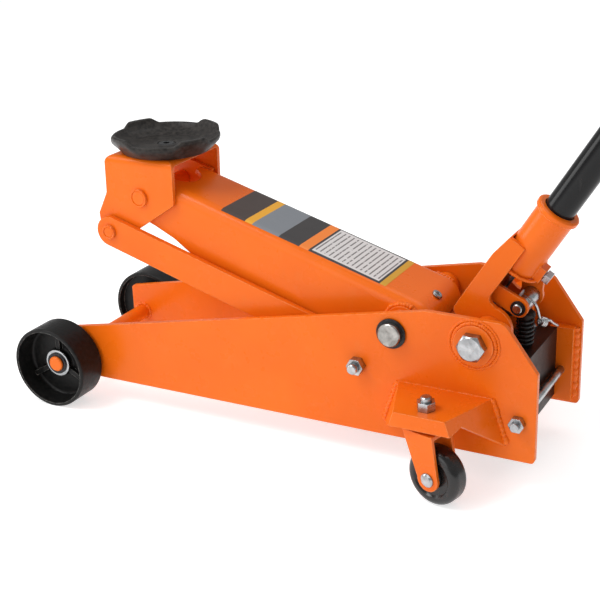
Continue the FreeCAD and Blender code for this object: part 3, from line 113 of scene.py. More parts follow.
class Tree:
    """A material's node tree, with short calls for the nodes used here."""

    SHADER_SOCKETS = {"color": "Base Color", "metallic": "Metallic", "roughness": "Roughness",
                      "normal": "Normal", "coat": "Coat Weight",
                      "coat_roughness": "Coat Roughness", "specular": "Specular IOR Level",
                      "glow": "Emission Color", "glow_strength": "Emission Strength"}
    EDGE_BENDS = {"start": 0.98, "end": 0.80}       # cosines: still flat, fully an edge

    def __init__(self, name):
        self.material = bpy.data.materials.new(name)
        self.material.use_nodes = True
        self.tree = self.material.node_tree
        self.shader = self.tree.nodes["Principled BSDF"]

    def node(self, kind, **settings):
        made = self.tree.nodes.new(kind)
        for key, value in settings.items():
            setattr(made, key, value)
        return made

    def link(self, source, target):
        self.tree.links.new(source, target)

    def feed(self, socket, value):
        """Gives a socket a constant, or links it to another node's output."""
        if isinstance(value, (tuple, list, float, int)):
            socket.default_value = value
        else:
            self.link(value, socket)

    def place(self):
        """Position on the piece in metres, the same however the piece is posed."""
        return self.node("ShaderNodeTexCoord").outputs["Object"]

    def noise(self, scale, detail=3.0, roughness=0.5, stretch=None):
        """Soft noise, 0 to 1; scale is its patches in a metre, about."""
        made = self.node("ShaderNodeTexNoise")
        made.inputs["Scale"].default_value = scale
        made.inputs["Detail"].default_value = detail
        made.inputs["Roughness"].default_value = roughness
        vector = self.place()
        if stretch:
            mapping = self.node("ShaderNodeMapping")
            mapping.inputs["Scale"].default_value = stretch
            self.link(vector, mapping.inputs["Vector"])
            vector = mapping.outputs["Vector"]
        self.link(vector, made.inputs["Vector"])
        return made.outputs["Fac"]

    def spread(self, value, start, end, to=(0.0, 1.0)):
        """Maps start..end to the two values of to, and holds them outside it."""
        made = self.node("ShaderNodeMapRange")
        made.inputs["From Min"].default_value = start
        made.inputs["From Max"].default_value = end
        made.inputs["To Min"].default_value = to[0]
        made.inputs["To Max"].default_value = to[1]
        self.link(value, made.inputs["Value"])
        return made.outputs["Result"]

    def math(self, operation, first, second=None):
        made = self.node("ShaderNodeMath", operation=operation)
        for socket, value in zip(made.inputs, (first, second)):
            if value is not None:
                self.feed(socket, value)
        return made.outputs["Value"]

    def mix(self, factor, first, second):
        made = self.node("ShaderNodeMix", data_type="RGBA")
        for name, value in (("Factor", factor), ("A", first), ("B", second)):
            sockets = [socket for socket in made.inputs if socket.name == name and socket.enabled]
            self.feed(sockets[0] if name == "Factor" else sockets[-1], value)
        return next(socket for socket in made.outputs if socket.enabled)

    def bump(self, height, strength, distance, normal=None):
        """A bump over normal; distance is its depth in metres."""
        made = self.node("ShaderNodeBump")
        made.inputs["Strength"].default_value = strength
        made.inputs["Distance"].default_value = distance
        self.link(height, made.inputs["Height"])
        if normal is not None:
            self.link(normal, made.inputs["Normal"])
        return made.outputs["Normal"]

    def edge(self, radius):
        """1 along convex and concave edges, 0 on flat faces."""
        bevel = self.node("ShaderNodeBevel", samples=4)
        bevel.inputs["Radius"].default_value = radius
        geometry = self.node("ShaderNodeNewGeometry")
        dot = self.node("ShaderNodeVectorMath", operation="DOT_PRODUCT")
        self.link(bevel.outputs["Normal"], dot.inputs[0])
        self.link(geometry.outputs["Normal"], dot.inputs[1])
        return self.spread(dot.outputs["Value"], **self.EDGE_BENDS)

    def soft_edges(self, radius):
        bevel = self.node("ShaderNodeBevel", samples=6)
        bevel.inputs["Radius"].default_value = radius
        return bevel.outputs["Normal"]

    def set(self, **sockets):
        for key, value in sockets.items():
            self.feed(self.shader.inputs[self.SHADER_SOCKETS[key]], value)
        return self.material


# ---------------------------------------------------------------- materials
COLOURS = {
    "orange": srgb(225, 99, 11), "orange_pooled": srgb(234, 108, 17),
    "orange_dust": srgb(222, 122, 56), "orange_rub_and_highlight": srgb(255, 176, 112),
    "cast_dark": srgb(17, 17, 17), "cast_light": srgb(30, 29, 28),
    "worn_dark": srgb(30, 28, 27), "worn_light": srgb(60, 56, 53),
    "iron_bare_and_highlight": srgb(176, 172, 166),
    "tube_dark": srgb(15, 15, 16), "tube_light": srgb(23, 23, 24), "tube_scuff": srgb(64, 63, 62),
    "zinc_dark": srgb(138, 140, 142), "zinc_light": srgb(190, 192, 194),
    "zinc_dirt": srgb(120, 116, 110),
    "steel_dark": srgb(134, 132, 128), "steel_light": srgb(184, 182, 178),
    "oxide_dark": srgb(24, 24, 26), "oxide_light": srgb(46, 46, 48),
    "block_dark": srgb(22, 14, 12), "block_light": srgb(40, 26, 21),
    "block_scratch": srgb(84, 66, 56),
    "wire_dark": srgb(150, 152, 154), "wire_light": srgb(206, 207, 208),
    "tread_dark": srgb(16, 15, 15), "tread_light": srgb(30, 28, 28),
    "tread_scuff": srgb(62, 58, 56),
    "foam_dark": srgb(24, 24, 25), "foam_light": srgb(38, 38, 39),
    "label_brown": srgb(62, 48, 43), "label_gold": srgb(228, 162, 30),
    "label_grey": srgb(122, 126, 132), "label_black": srgb(50, 46, 46),
    "label_orange": srgb(240, 128, 36), "label_ochre": srgb(206, 152, 26),
    "label_paper": srgb(216, 211, 210), "label_rule": srgb(112, 106, 106),
    "floor": (0.72, 0.72, 0.72, 1), "white": (1, 1, 1, 1),
}


def orange_paint():
    """Thick glossy powder coat: orange peel, pooled colour, faint dust, and edges lightened in patches, partly as
    rubbed paint and partly as painted highlight.
    """
    tree = Tree("orange_powder_coat")
    drift = tree.noise(scale=9)
    color = tree.mix(tree.spread(drift, 0.35, 0.68), COLOURS["orange"], COLOURS["orange_pooled"])
    dust = tree.spread(tree.noise(scale=55, detail=6, roughness=0.65), 0.56, 0.78, to=(0, 0.22))
    color = tree.mix(dust, color, COLOURS["orange_dust"])
    # Patchy bright edges: partly rubbed paint, partly painted highlight lines along the bends.
    rub_and_highlight_patches = tree.spread(tree.noise(scale=160, detail=5, roughness=0.7), 0.38, 0.58)
    edge_rub_and_highlight = tree.math("MULTIPLY", tree.edge(1.1 * MM), rub_and_highlight_patches)
    color = tree.mix(tree.math("MULTIPLY", edge_rub_and_highlight, 0.85), color, COLOURS["orange_rub_and_highlight"])
    grit, peel = tree.noise(scale=900, detail=2, roughness=0.4), tree.noise(scale=110, detail=2)
    normal = tree.bump(grit, strength=0.10, distance=0.12 * MM, normal=tree.soft_edges(1.1 * MM))
    normal = tree.bump(peel, strength=0.05, distance=0.6 * MM, normal=normal)
    haze = tree.noise(scale=30, detail=4, roughness=0.6)
    return tree.set(color=color, roughness=tree.spread(haze, 0.3, 0.75, to=(0.24, 0.36)),
                    normal=normal, specular=0.20, coat=0.06, coat_roughness=0.12)


def cast_black(name, dark, light, wear_and_highlight_strength):
    """Sand-cast iron under a thin black coat, its edges lightened towards bare iron, partly as wear and partly as
    painted highlight.
    """
    tree = Tree(name)
    grain = tree.noise(scale=1400, detail=4, roughness=0.7)
    lumps = tree.noise(scale=240, roughness=0.6)
    base = tree.mix(tree.spread(lumps, 0.35, 0.7), dark, light)
    # Edges lightened towards bare iron: partly real wear, partly painted highlight on rims and lugs.
    edge_wear_and_highlight = tree.math("MULTIPLY", tree.edge(1.3 * MM),
                     tree.spread(tree.noise(scale=210, detail=4), 0.40, 0.60))
    color = tree.mix(tree.math("MULTIPLY", edge_wear_and_highlight, wear_and_highlight_strength), base, COLOURS["iron_bare_and_highlight"])
    normal = tree.bump(grain, strength=0.4, distance=0.2 * MM, normal=tree.soft_edges(1.2 * MM))
    normal = tree.bump(lumps, strength=0.30, distance=0.5 * MM, normal=normal)
    return tree.set(color=color, roughness=tree.spread(lumps, 0.3, 0.7, to=(0.30, 0.48)),
                    normal=normal, specular=0.17)


def handle_black():
    """Gloss black paint drawn along the tube, with long light scuffs."""
    tree = Tree("black_tube_paint")
    drift = tree.noise(scale=14)
    color = tree.mix(tree.spread(drift, 0.3, 0.7), COLOURS["tube_dark"], COLOURS["tube_light"])
    scuffs = tree.noise(scale=70, detail=5, roughness=0.7, stretch=(1, 1, 0.2))
    color = tree.mix(tree.spread(scuffs, 0.64, 0.76, to=(0, 0.3)), color, COLOURS["tube_scuff"])
    normal = tree.bump(tree.noise(scale=800, detail=2, roughness=0.4), strength=0.08,
                       distance=0.1 * MM, normal=tree.soft_edges(0.6 * MM))
    return tree.set(color=color, roughness=tree.spread(drift, 0.2, 0.8, to=(0.15, 0.26)),
                    normal=normal, specular=0.18, coat=0.14, coat_roughness=0.06)


def zinc():
    """Bright zinc plate on fasteners, cold in colour, a little cloudy, with brushed grain."""
    tree = Tree("zinc_plate")
    cloud = tree.noise(scale=120)
    color = tree.mix(tree.spread(cloud, 0.3, 0.7), COLOURS["zinc_dark"], COLOURS["zinc_light"])
    dirt = tree.spread(tree.noise(scale=340, detail=4, roughness=0.6), 0.58, 0.75, to=(0, 0.35))
    color = tree.mix(dirt, color, COLOURS["zinc_dirt"])
    normal = tree.bump(tree.noise(scale=2600, roughness=0.6), strength=0.10,
                       distance=0.1 * MM, normal=tree.soft_edges(0.7 * MM))
    return tree.set(color=color, metallic=1.0, normal=normal,
                    roughness=tree.spread(cloud, 0.2, 0.8, to=(0.20, 0.32)))


def bare_steel():
    """Oiled turned steel, its grain round the axis of the pins that lie across the jack."""
    tree = Tree("ground_steel")
    oil = tree.noise(scale=90, detail=4, roughness=0.6)
    color = tree.mix(tree.spread(oil, 0.4, 0.65), COLOURS["steel_dark"], COLOURS["steel_light"])
    rings = tree.noise(scale=900, roughness=0.6, stretch=(1, 0.05, 1))
    normal = tree.bump(rings, strength=0.2, distance=0.1 * MM, normal=tree.soft_edges(0.6 * MM))
    return tree.set(color=color, metallic=1.0, normal=normal,
                    roughness=tree.spread(oil, 0.3, 0.7, to=(0.24, 0.38)))


def black_oxide():
    """Blued steel with an oily sheen."""
    tree = Tree("black_oxide")
    oil = tree.noise(scale=300, roughness=0.6)
    color = tree.mix(tree.spread(oil, 0.35, 0.7), COLOURS["oxide_dark"], COLOURS["oxide_light"])
    normal = tree.bump(tree.noise(scale=1800), strength=0.15, distance=0.1 * MM,
                       normal=tree.soft_edges(0.4 * MM))
    return tree.set(color=color, metallic=0.5, normal=normal,
                    roughness=tree.spread(oil, 0.3, 0.7, to=(0.28, 0.42)))


def block_iron():
    """Oiled brown-black iron of the pump unit, stained and faintly scratched."""
    tree = Tree("block_iron")
    stain = tree.noise(scale=60, detail=5, roughness=0.65)
    color = tree.mix(tree.spread(stain, 0.35, 0.7), COLOURS["block_dark"], COLOURS["block_light"])
    scratch = tree.noise(scale=420, detail=4, roughness=0.7, stretch=(1, 1, 0.12))
    color = tree.mix(tree.spread(scratch, 0.58, 0.72, to=(0, 0.5)), color, COLOURS["block_scratch"])
    normal = tree.bump(tree.noise(scale=1100, detail=4, roughness=0.7), strength=0.3,
                       distance=0.2 * MM, normal=tree.soft_edges(0.9 * MM))
    return tree.set(color=color, roughness=tree.spread(stain, 0.3, 0.7, to=(0.30, 0.46)),
                    normal=normal, specular=0.18)


def spring_steel():
    """Drawn wire, grey and slightly hazy."""
    tree = Tree("spring_steel")
    haze = tree.noise(scale=400, roughness=0.6)
    color = tree.mix(tree.spread(haze, 0.3, 0.7), COLOURS["wire_dark"], COLOURS["wire_light"])
    normal = tree.bump(tree.noise(scale=2200, detail=2), strength=0.12, distance=0.1 * MM)
    return tree.set(color=color, metallic=1.0, normal=normal,
                    roughness=tree.spread(haze, 0.3, 0.7, to=(0.22, 0.36)))


def caster_plastic():
    """Hard black moulded tread with a soft shine and fine scuffs."""
    tree = Tree("caster_tread")
    haze = tree.noise(scale=120, detail=4, roughness=0.6)
    color = tree.mix(tree.spread(haze, 0.35, 0.7), COLOURS["tread_dark"], COLOURS["tread_light"])
    scuff = tree.spread(tree.noise(scale=380, detail=5, roughness=0.75), 0.64, 0.76, to=(0, 0.25))
    color = tree.mix(scuff, color, COLOURS["tread_scuff"])
    normal = tree.bump(tree.noise(scale=420), strength=0.08, distance=0.2 * MM,
                       normal=tree.soft_edges(0.8 * MM))
    return tree.set(color=color, roughness=tree.spread(haze, 0.3, 0.7, to=(0.18, 0.30)),
                    normal=normal)


CELLS_PER_METRE = 1500


def grip_rubber():
    """Closed-cell foam sleeve."""
    tree = Tree("grip_foam")
    cells = tree.node("ShaderNodeTexVoronoi")
    cells.inputs["Scale"].default_value = CELLS_PER_METRE
    tree.link(tree.place(), cells.inputs["Vector"])
    haze = tree.noise(scale=90, detail=4)
    color = tree.mix(tree.spread(haze, 0.3, 0.7), COLOURS["foam_dark"], COLOURS["foam_light"])
    normal = tree.bump(cells.outputs["Distance"], strength=0.35, distance=0.2 * MM)
    return tree.set(color=color, roughness=0.78, normal=normal)


LABEL_UV = "sheet"
# Where each band starts, as a share of the label's length from its front edge.
LABEL_BANDS = {0.0: "label_brown", 0.15: "label_gold", 0.195: "label_grey", 0.36: "label_black",
               0.485: "label_orange", 0.54: "label_black", 0.965: "label_ochre"}
PANEL = {"start": 0.553, "end": 0.952, "edge": 0.045, "rules": 15}
RULE = {"start": 0.36, "end": 0.66, "margin": 0.10}      # shares of a line's pitch and width


def printed_label():
    """Plain colour bands and a pale panel with grey rules; it carries no lettering.

    The sheet's UV runs 0 to 1 down the arm in U and across it in V.
    """
    tree = Tree("printed_label")
    split = tree.node("ShaderNodeSeparateXYZ")
    tree.link(tree.node("ShaderNodeUVMap", uv_map=LABEL_UV).outputs["UV"], split.inputs["Vector"])
    down, over = split.outputs["X"], split.outputs["Y"]
    color = COLOURS[LABEL_BANDS[0.0]]
    for start, shade in LABEL_BANDS.items():
        if start > 0:
            color = tree.mix(tree.math("GREATER_THAN", down, start), color, COLOURS[shade])

    def within(value, least, most):
        return tree.math("MULTIPLY", tree.math("GREATER_THAN", value, least),
                         tree.math("LESS_THAN", value, most))

    pitch = (PANEL["end"] - PANEL["start"]) / PANEL["rules"]
    phase = tree.math("DIVIDE", tree.math("SUBTRACT", down, PANEL["start"]), pitch)
    rule = tree.math("MULTIPLY",
                     within(tree.math("FRACT", phase), RULE["start"], RULE["end"]),
                     within(over, RULE["margin"], 1 - RULE["margin"]))
    gaps = tree.spread(tree.noise(scale=260, detail=2), 0.36, 0.42)
    paper = tree.mix(tree.math("MULTIPLY", rule, gaps), COLOURS["label_paper"],
                     COLOURS["label_rule"])
    on_panel = tree.math("MULTIPLY", within(down, PANEL["start"], PANEL["end"]),
                         within(over, PANEL["edge"], 1 - PANEL["edge"]))
    color = tree.mix(on_panel, color, paper)
    normal = tree.bump(tree.noise(scale=700, detail=2), strength=0.05, distance=0.1 * MM)
    return tree.set(color=color, normal=normal,
                    roughness=tree.spread(tree.noise(scale=60), 0.3, 0.7, to=(0.34, 0.46)))


MATERIALS = {
    "orange_paint": orange_paint(),
    "black_cast": cast_black("black_cast", COLOURS["cast_dark"], COLOURS["cast_light"], 0.45),
    "black_handle": handle_black(),
    "zinc_steel": zinc(),
    "bare_steel": bare_steel(),
    "black_oxide": black_oxide(),
    "dark_block": block_iron(),
    "spring_steel": spring_steel(),
    "caster_plastic": caster_plastic(),
    "grip_rubber": grip_rubber(),
}
# The pump plunger takes the dark block finish, partly as a dark part and partly as painted shade in the corner by
# the pump.
DARKER = {"saddle_screw": "black_oxide", "pump_plunger": "dark_block"}


def dress_nodes():
    """Gives every CAD node its slot's material, and a dark one to the saddle screw and the pump plunger."""
    for entry in frame["record"]["subparts"]:
        name = entry["node"]
        node = NODES[name]
        node.data.materials.clear()
        node.data.materials.append(MATERIALS[DARKER.get(name, entry["material_slot"])])


# ---------------------------------------------------------------- meshes, tubes and curves
def shown(name, vertices, faces, slot, material=None):
    """A smooth mesh piece in the shared frame, with the finish of a material slot."""
    mesh = bpy.data.meshes.new(name)
    mesh.from_pydata([tuple(vertex) for vertex in vertices], [], faces)
    turned = bmesh.new()
    turned.from_mesh(mesh)
    bmesh.ops.recalc_face_normals(turned, faces=turned.faces)
    turned.to_mesh(mesh)
    turned.free()
    mesh.polygons.foreach_set("use_smooth", [True] * len(mesh.polygons))
    piece = bpy.data.objects.new(name, mesh)
    piece.data.materials.append(material or MATERIALS[slot])
    bpy.context.scene.collection.objects.link(piece)
    return piece


def sweep(points, radius_at, sides=10, closed=False):
    """Vertices and faces of a tube along points; radius_at(index) is its radius there."""
    count = len(points)
    vertices, faces = [], []
    side = None
    for index, point in enumerate(points):
        before = points[index - 1] if index or closed else point
        after = points[(index + 1) % count] if index < count - 1 or closed else point
        along = (after - before).normalized()
        side = along.orthogonal() if side is None else side - along * side.dot(along)
        side.normalize()
        other = along.cross(side)
        for turn in range(sides):
            angle = 2 * math.pi * turn / sides
            outward = side * math.cos(angle) + other * math.sin(angle)
            vertices.append(point + radius_at(index) * outward)
    for index in range(count if closed else count - 1):
        here, there = index * sides, (index + 1) % count * sides
        for turn in range(sides):
            onward = (turn + 1) % sides
            faces.append((here + turn, here + onward, there + onward, there + turn))
    if not closed:
        faces += [tuple(range(sides)), tuple(range((count - 1) * sides, count * sides))]
    return vertices, faces


def divided(corners, step, closed=False):
    """Points every step or so along straight runs between corners."""
    ends = corners + corners[:1] if closed else corners
    points = []
    for start, end in zip(ends, ends[1:]):
        parts = max(1, round((end - start).length / step))
        points += [start.lerp(end, part / parts) for part in range(parts)]
    return points if closed else points + [ends[-1]]


def circle(centre, first, second, radius, parts=96):
    return [centre + radius * (first * math.cos(2 * math.pi * part / parts)
                               + second * math.sin(2 * math.pi * part / parts))
            for part in range(parts)]


def helix(start, end, radius, turns, parts=18):
    """Points of a coil about the line from start to end."""
    along = (end - start).normalized()
    first = along.orthogonal().normalized()
    second = along.cross(first)
    total = round(turns * parts)
    return [start.lerp(end, step / total)
            + radius * (first * math.cos(2 * math.pi * step / parts)
                        + second * math.sin(2 * math.pi * step / parts))
            for step in range(total + 1)]


def through(corners, parts=10):
    """A smooth curve that passes through every corner."""
    padded = [corners[0] * 2 - corners[1], *corners, corners[-1] * 2 - corners[-2]]
    points = []
    for a, b, c, d in zip(padded, padded[1:], padded[2:], padded[3:]):
        for part in range(parts):
            t = part / parts
            points.append(0.5 * (2 * b + (c - a) * t + (2 * a - 5 * b + 4 * c - d) * t ** 2
                                 + (3 * b - a - 3 * c + d) * t ** 3))
    return points + [corners[-1]]


# ---------------------------------------------------------------- weld beads
BEAD_STEP = 0.5 * MM
BEAD_LUMPS = 260            # lumps in a metre of bead
BEAD_WANDER = 0.35          # these two are shares of the bead's own radius
BEAD_UNEVENNESS = 0.26
RIPPLE_MIDDLE = 0.6         # height on a ripple, 0 to 1, where a bead has its own radius
RING_WELDS = {              # gap from the edge that the bead joins, and its own radius
    "boss_weld": (1.2 * MM, 2.0 * MM),
    "boss_weld_outer": (4.4 * MM, 1.5 * MM),
    "arm_boss_weld": (1.0 * MM, 2.2 * MM),
    "axle_weld": (1.0 * MM, 1.8 * MM),
}
OUTER_RING_SUNK = 0.3 * MM
CHEEK_SPLAY = 14 * MM       # how far a caster bracket's cheek runs out from top to foot
CHEEK_BEAD = 2.9 * MM
TOP_BEAD = 1.3 * MM
BAR_BEAD = 3.8 * MM
SOCKET_BEAD = 1.6 * MM
PIN_RIM = {"bead": 0.9 * MM, "inset": 0.8 * MM, "sunk": 0.5 * MM}
SOCKET_START = ((low("handle_socket").z - HANDLE_FOOT.z
                 + half_span("handle_socket", 1) * HANDLE_AXIS.x)
                / HANDLE_AXIS.z + 1 * MM)


def weld(name, corners, body, radius, ripple=2.6 * MM, swell=0.30, closed=False):
    """A painted weld bead: overlapping ripples, a little uneven, half sunk in its corner."""
    points = divided(corners, BEAD_STEP, closed)
    lumps = [noise.noise(point * BEAD_LUMPS) for point in points]
    points = [point + lump * BEAD_WANDER * radius * Z_AXIS for point, lump in zip(points, lumps)]

    def radius_at(index):
        wave = abs(math.sin(math.pi * index * BEAD_STEP / ripple))
        return radius * (1 - swell * (RIPPLE_MIDDLE - wave) + BEAD_UNEVENNESS * lumps[index])

    piece = shown(name, *sweep(points, radius_at, closed=closed), "orange_paint")
    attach(piece, body)


def ring_weld(name, side, place, height, edge, body):
    """A bead round a boss or bar whose own radius is edge, on the plane y = height."""
    gap, bead = RING_WELDS[name]
    centre = Vector((place.x, height, place.z))
    weld(f"{name}_{side}", circle(centre, X_AXIS, Z_AXIS, edge + gap), body, bead, closed=True)


def weld_caster_bracket(side, outside):
    """Beads down both cheeks of a caster bracket and along its top, on the plate's outer face."""
    bracket = f"caster_bracket_{side}"
    centre_x, spread = middle(bracket).x, half_span(bracket, 0)
    top, foot = high(bracket).z, low(bracket).z
    for end, name in ((-1, "front"), (1, "rear")):
        cheek = [Vector((centre_x + end * (spread - CHEEK_SPLAY), outside, top)),
                 Vector((centre_x + end * spread, outside, foot + 3 * MM))]
        weld(f"caster_bracket_{name}_weld_{side}", cheek, "chassis", CHEEK_BEAD, ripple=4.4 * MM)
    edge = [Vector((centre_x + end * (spread - CHEEK_SPLAY), outside, top - 0.6 * MM))
            for end in (-1, 1)]
    weld(f"caster_bracket_top_weld_{side}", edge, "chassis", TOP_BEAD)


def weld_mount_bar(side, inside):
    """A thick bead down the rear edge of the bar that holds the pump unit."""
    bar = f"unit_mount_bar_{side}"
    root = inside - 0.6 * MM * SIDES[side]
    corners = [Vector((high(bar).x, root, low(bar).z + 2 * MM)),
               Vector((high(bar).x, root, high(bar).z - 1 * MM))]
    weld(f"mount_bar_weld_{side}", corners, "chassis", BAR_BEAD, ripple=7.5 * MM, swell=0.20)


def rim_pins(side):
    """The soft painted rims of the pins that show in the saddle bracket."""
    for name, node, place in (("bracket_pin", "bracket_pivot_pin", BRACKET_PIVOT),
                              ("link_pin", "link_front_pins", middle("link_front_pins"))):
        face = (side_faces(node)[1] - PIN_RIM["sunk"]) * SIDES[side]
        rim = circle(Vector((place.x, face, place.z)), X_AXIS, Z_AXIS,
                     half_span(node, 2) - PIN_RIM["inset"])
        weld(f"{name}_rim_{side}", rim, "saddle_bracket", PIN_RIM["bead"], ripple=4.5 * MM,
             closed=True)


def make_welds():
    """Beads where the plates, bosses, bars, brackets, arm and yoke are joined."""
    boss, axle = half_span("yoke_pivot_bosses", 2), half_span("front_axle", 2)
    for side, sign in SIDES.items():
        inside, outside = (face * sign for face in side_faces(f"side_plate_{side}"))
        arm_face = high("lift_arm").y * sign
        ring_weld("boss_weld", side, YOKE_PIVOT, outside, boss, "chassis")
        ring_weld("boss_weld_outer", side, YOKE_PIVOT, outside - OUTER_RING_SUNK * sign, boss,
                  "chassis")
        ring_weld("arm_boss_weld", side, ARM_PIVOT, arm_face, half_span("arm_pivot_boss", 2),
                  "lift_arm")
        ring_weld("axle_weld", side, middle("front_axle"), inside, axle, "chassis")
        weld_caster_bracket(side, outside)
        weld_mount_bar(side, inside)
        rim_pins(side)
    socket = circle(HANDLE_FOOT + HANDLE_AXIS * SOCKET_START, Y_AXIS, HANDLE_AXIS.cross(Y_AXIS),
                    half_span("handle_socket", 1))
    weld("socket_weld", socket, "yoke", SOCKET_BEAD, closed=True)


# ---------------------------------------------------------------- springs
PLUNGER_WIRE = 1.1 * MM
RETURN_WIRE = 0.8 * MM
LIFT_WIRE = 1.25 * MM


def make_plunger_coil():
    """The stiff black coil round the pump's plunger, in place of the tube that stands for it."""
    bottom, top = low("plunger_spring"), high("plunger_spring")
    centre = (bottom + top) / 2
    start = Vector((centre.x, centre.y, bottom.z + PLUNGER_WIRE))
    end = Vector((centre.x, centre.y, top.z - PLUNGER_WIRE))
    radius = half_span("plunger_spring", 1) - PLUNGER_WIRE
    points = helix(start, end, radius, turns=6.5, parts=24)
    # Black, partly as the coil's own colour and partly as painted shade in the corner by the pump.
    piece = shown("plunger_coil", *sweep(points, lambda index: PLUNGER_WIRE), "black_oxide")
    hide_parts("plunger_spring")
    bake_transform(piece)


def make_return_coils():
    """The two long coils that pull the ram back, in place of the tubes that stand for them."""
    front, rear = low("return_springs"), high("return_springs")
    coil = half_span("return_springs", 2)
    height = (rear.z + front.z) / 2
    vertices, faces = [], []
    for sign in SIDES.values():
        off = sign * (rear.y - coil)
        points = helix(Vector((rear.x - RETURN_WIRE, off, height)),
                       Vector((front.x + RETURN_WIRE, off, height)),
                       coil - RETURN_WIRE, turns=40, parts=14)
        tube, tube_faces = sweep(points, lambda index: RETURN_WIRE, sides=6)
        faces += [tuple(corner + len(vertices) for corner in face) for face in tube_faces]
        vertices += tube
    piece = shown("return_coils", vertices, faces, "spring_steel")
    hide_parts("return_springs")
    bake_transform(piece)


def make_handle_spring():
    """The wire that lifts the yoke: hooked on the roller pin, coiled, and ending in a long leg."""
    pin = middle("roller_pin")
    behind = high("plunger_spring").x + 2.8 * MM
    knot = Vector((behind, 11 * MM, pin.z - 23 * MM))
    tip = Vector((high("pump_block").x + 5 * MM, 38 * MM, pin.z - 36 * MM))
    hook = [pin + Vector((1.0, -9, 8.0)) * MM, pin + Vector((11.5, -8, 1.5)) * MM,
            Vector((behind + 2.5 * MM, -3 * MM, pin.z - 12 * MM)),
            knot + Vector((0.5, -3.5, 3.5)) * MM]
    coil = helix(knot + Vector((0, -2.5, 1.5)) * MM, knot + Vector((2, 4.5, -2)) * MM,
                 radius=3.4 * MM, turns=3, parts=20)
    leg = [coil[-1] + Vector((1, 4, -1.5)) * MM, coil[-1].lerp(tip, 0.55), tip]
    points = through(hook, 8) + coil + through(leg, 6)
    piece = shown("handle_lift_spring", *sweep(points, lambda index: LIFT_WIRE), "spring_steel")
    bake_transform(piece)


# ---------------------------------------------------------------- saddle
SADDLE_PARTS = 240
LUGS = {"turn": 64, "apart": 90, "reach": 24, "slope": 12, "height": 4.8 * MM}      # degrees
CASTING = {"depth": 0.16 * MM, "lumps": 160}        # unevenness of the cast surface
SADDLE = {"bottom": low("saddle").z, "top": high("saddle").z, "rim": half_span("saddle", 0),
          "floor": high("saddle_screw").z + 0.1 * MM,
          "hole": half_span("saddle_screw", 0) + 0.3 * MM}


def lug_rise(angle):
    """1 on a lug, 0 between lugs, and a smooth slope from one to the other; angle in degrees."""
    half = LUGS["apart"] / 2
    apart = abs((angle - LUGS["turn"] + half) % LUGS["apart"] - half)
    rise = min(1, max(0, (LUGS["reach"] - apart) / LUGS["slope"]))
    return rise * rise * (3 - 2 * rise)


def saddle_profile(rise):
    """The dish's cross section as radius and height: under it, up the wall, and back inside."""
    bottom, floor, hole = SADDLE["bottom"], SADDLE["floor"], SADDLE["hole"]
    foot = SADDLE["rim"] - 10.5 * MM
    crest = SADDLE["top"] - LUGS["height"] * (1 - rise)
    outer = SADDLE["rim"] - 1.1 * MM * (1 - rise)
    inner = outer - (2.6 * MM + 1.4 * MM * rise)
    return [(hole, bottom), (foot - 1.2 * MM, bottom), (foot, bottom + 0.7 * MM),
            (outer - 0.9 * MM, crest - 5.2 * MM), (outer, crest - 3.0 * MM),
            (outer, crest - 0.9 * MM), (outer - 0.7 * MM, crest),
            (inner + 0.5 * MM, crest), (inner - 0.3 * MM, crest - 0.8 * MM),
            (inner - 2.5 * MM, floor + 4.5 * MM), (foot - 3.2 * MM, floor + 1.4 * MM),
            (foot - 5.5 * MM, floor + 0.9 * MM), (foot - 7.0 * MM, floor - 0.7 * MM),
            (foot - 9.0 * MM, floor - 0.8 * MM), (hole + 4.5 * MM, floor - 0.6 * MM),
            (hole + 3.0 * MM, floor), (hole + 0.6 * MM, floor), (hole, floor - 0.8 * MM)]


def make_saddle():
    """Cast dish with flared walls and four raised lugs whose ends run down smoothly."""
    centre = pivot("saddle_spin")
    rings = len(saddle_profile(0))
    vertices, faces = [], []
    for part in range(SADDLE_PARTS):
        angle = 360 * part / SADDLE_PARTS
        turn = math.radians(angle)
        for radius, height in saddle_profile(lug_rise(angle)):
            spot = Vector((radius * math.cos(turn), radius * math.sin(turn), height))
            if radius > SADDLE["hole"]:
                radius += CASTING["depth"] * noise.noise(spot * CASTING["lumps"])
            vertices.append(Vector((centre.x + radius * math.cos(turn),
                                    centre.y + radius * math.sin(turn), height)))
        here, there = part * rings, (part + 1) % SADDLE_PARTS * rings
        for ring in range(rings):
            onward = (ring + 1) % rings
            faces.append((here + ring, there + ring, there + onward, here + onward))
    # Strong edge lightening, 0.9: worn rims and painted highlights on the lugs.
    worn_and_highlighted = cast_black("worn_and_highlighted_cast", COLOURS["worn_dark"], COLOURS["worn_light"], 0.9)
    piece = shown("saddle_dish", vertices, faces, "black_cast", worn_and_highlighted)
    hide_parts("saddle")
    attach(piece, "saddle")


# ---------------------------------------------------------------- label
# The sheet's two ends, measured from the arm's pivot, and its grid of points down and over it.
LABEL = {"start": 208.6 * MM, "end": 28.9 * MM, "half_width": 33.5 * MM,
         "drop_mm": 80, "proud_mm": 0.15, "down": 60, "over": 28}


